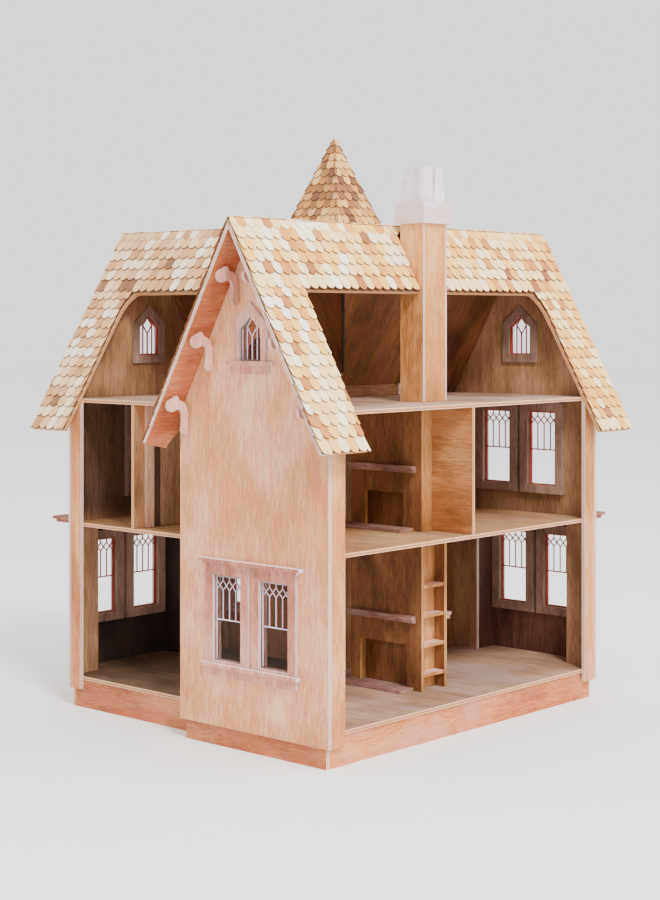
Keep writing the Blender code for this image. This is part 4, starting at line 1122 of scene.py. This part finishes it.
def inner_doorway():
    """The casing and plain door on the wing's upper partition, with a dark board painted as the
    shadow in the gap beside the door.
    """
    z0, z1 = span("partition_wing")[4:]
    wall = Wall(0.0, span("partition_wing")[2], (1, 0), (0, -1))
    casing = Build()
    head = z0 + 88.0
    for s0, s1, foot in ((33.0, 42.0, z0), (84.0, 93.0, z0), (42.0, 84.0, head)):
        wall.board(casing, s0, s1, foot, z1 - 0.3, 0.0, 3.0)
    casing.finish("wing_door_casing", wood("wood_wing_casing", tint(164, 118, 88),
                                           tint(196, 150, 120), tint(220, 182, 160), grain="Z"))
    # Painted shadow: a thin dark board standing for the shade in the doorway's gap.
    dark = Build()
    wall.board(dark, 42.0, 51.0, z0, head, 0.0, 0.5)
    dark.finish("wing_doorway_shadow", wood("wood_wing_dark", tint(52, 32, 24), tint(74, 48, 36),
                                            tint(96, 64, 48), grain="Z"), bevel=0.1,
                slot="inner_wood")
    leaf = Build()
    wall.board(leaf, 51.0, 84.0, z0 + 0.4, head, 0.0, 1.8)
    leaf.finish("wing_door_leaf", wood("wood_wing_door", *GREY_BROWN, grain="Z"),
                slot="inner_wood")


def seams():
    """Dark lines inside the roof, where the boards of its valleys meet."""
    build = Build()
    depth = 1.5 + PLY + 0.15
    for far, side in ((TOWER[0] - 2.0, 1), (WING_X - WING_ROOF[0] - 20.0, -1)):
        reach = far - WING_X if side > 0 else far
        points = []
        for run in (2.0, reach):
            x = WING_X + side * run
            y = MAIN_Y + run / TURN
            points.append((x, y, RIDGE - depth * WING_SLANT - WING_RISE * run))
        (x0, y0, z0), (x1, y1, z1) = points
        ring = [(-0.9, -0.9), (0.9, -0.9), (0.9, 0.9), (-0.9, 0.9)]
        build.solid([(x0 + a, y0 + b, z0 - 0.4) for a, b in ring],
                    [(x1 + a, y1 + b, z1 - 0.4) for a, b in ring])
    build.finish("roof_valley_seams", wood("wood_seams", tint(30, 22, 14), tint(52, 42, 28),
                                           tint(78, 66, 48), grain="X"),
                 bevel=0, slot="inner_wood")


# ---- stage, light and camera ----

def stage():
    mesh = bpy.data.meshes.new("studio_floor")
    mesh.from_pydata([(-9, -9, 0), (9, -9, 0), (9, 9, 0), (-9, 9, 0)], [], [(0, 1, 2, 3)])
    n = Nodes("studio_paper")
    source = n.add("ShaderNodeTexCoord").outputs["Object"]
    n.put(n.bsdf.inputs["Base Color"],
          n.mix(n.noise(source, 30.0, 4.0), tint(250, 250, 250), tint(255, 255, 255)))
    n.bsdf.inputs["Roughness"].default_value = 0.95
    n.bsdf.inputs["Specular IOR Level"].default_value = 0.0
    mesh.materials.append(n.material)
    floor = bpy.data.objects.new("studio_floor", mesh)
    link(floor)
    world = bpy.data.worlds.new("studio")
    world.use_nodes = True
    background = world.node_tree.nodes["Background"]
    background.inputs["Color"].default_value = (1.0, 1.0, 1.0, 1.0)
    background.inputs["Strength"].default_value = 1.65
    bpy.context.scene.world = world


def lamp(name, place, target, size, power, colour):
    light = bpy.data.lights.new(name, "AREA")
    light.shape = "SQUARE"
    light.size = size
    light.energy = power
    light.color = colour
    item = bpy.data.objects.new(name, light)
    item.location = place
    item.rotation_euler = (Vector(target) - Vector(place)).to_track_quat("-Z", "Y").to_euler()
    link(item)


def lights():
    lamp("key", (-1.2, -2.4, 2.7), (0, 0, 0.2), 0.8, 150.0, (1.0, 0.98, 0.96))
    lamp("fill", (1.3, -2.5, 1.5), (0, 0, 0.2), 1.4, 34.0, (1.0, 0.98, 0.98))


def camera():
    data = bpy.data.cameras.new("photo_camera")
    data.lens = 70.66
    data.sensor_width = 36.0
    data.shift_y = -0.1464
    data.clip_start = 0.05
    item = bpy.data.objects.new("photo_camera", data)
    item.location = at(-993.65, -903.85, 345.48)
    item.rotation_euler = (math.pi / 2, 0.0, 0.737284 - math.pi / 2)
    link(item)
    bpy.context.scene.camera = item


boards()
windows()
bay_roofs()
chimney_cap()
door()
inner_doorway()
seams()
roof_shingles()
spire()
stage()
lights()
camera()
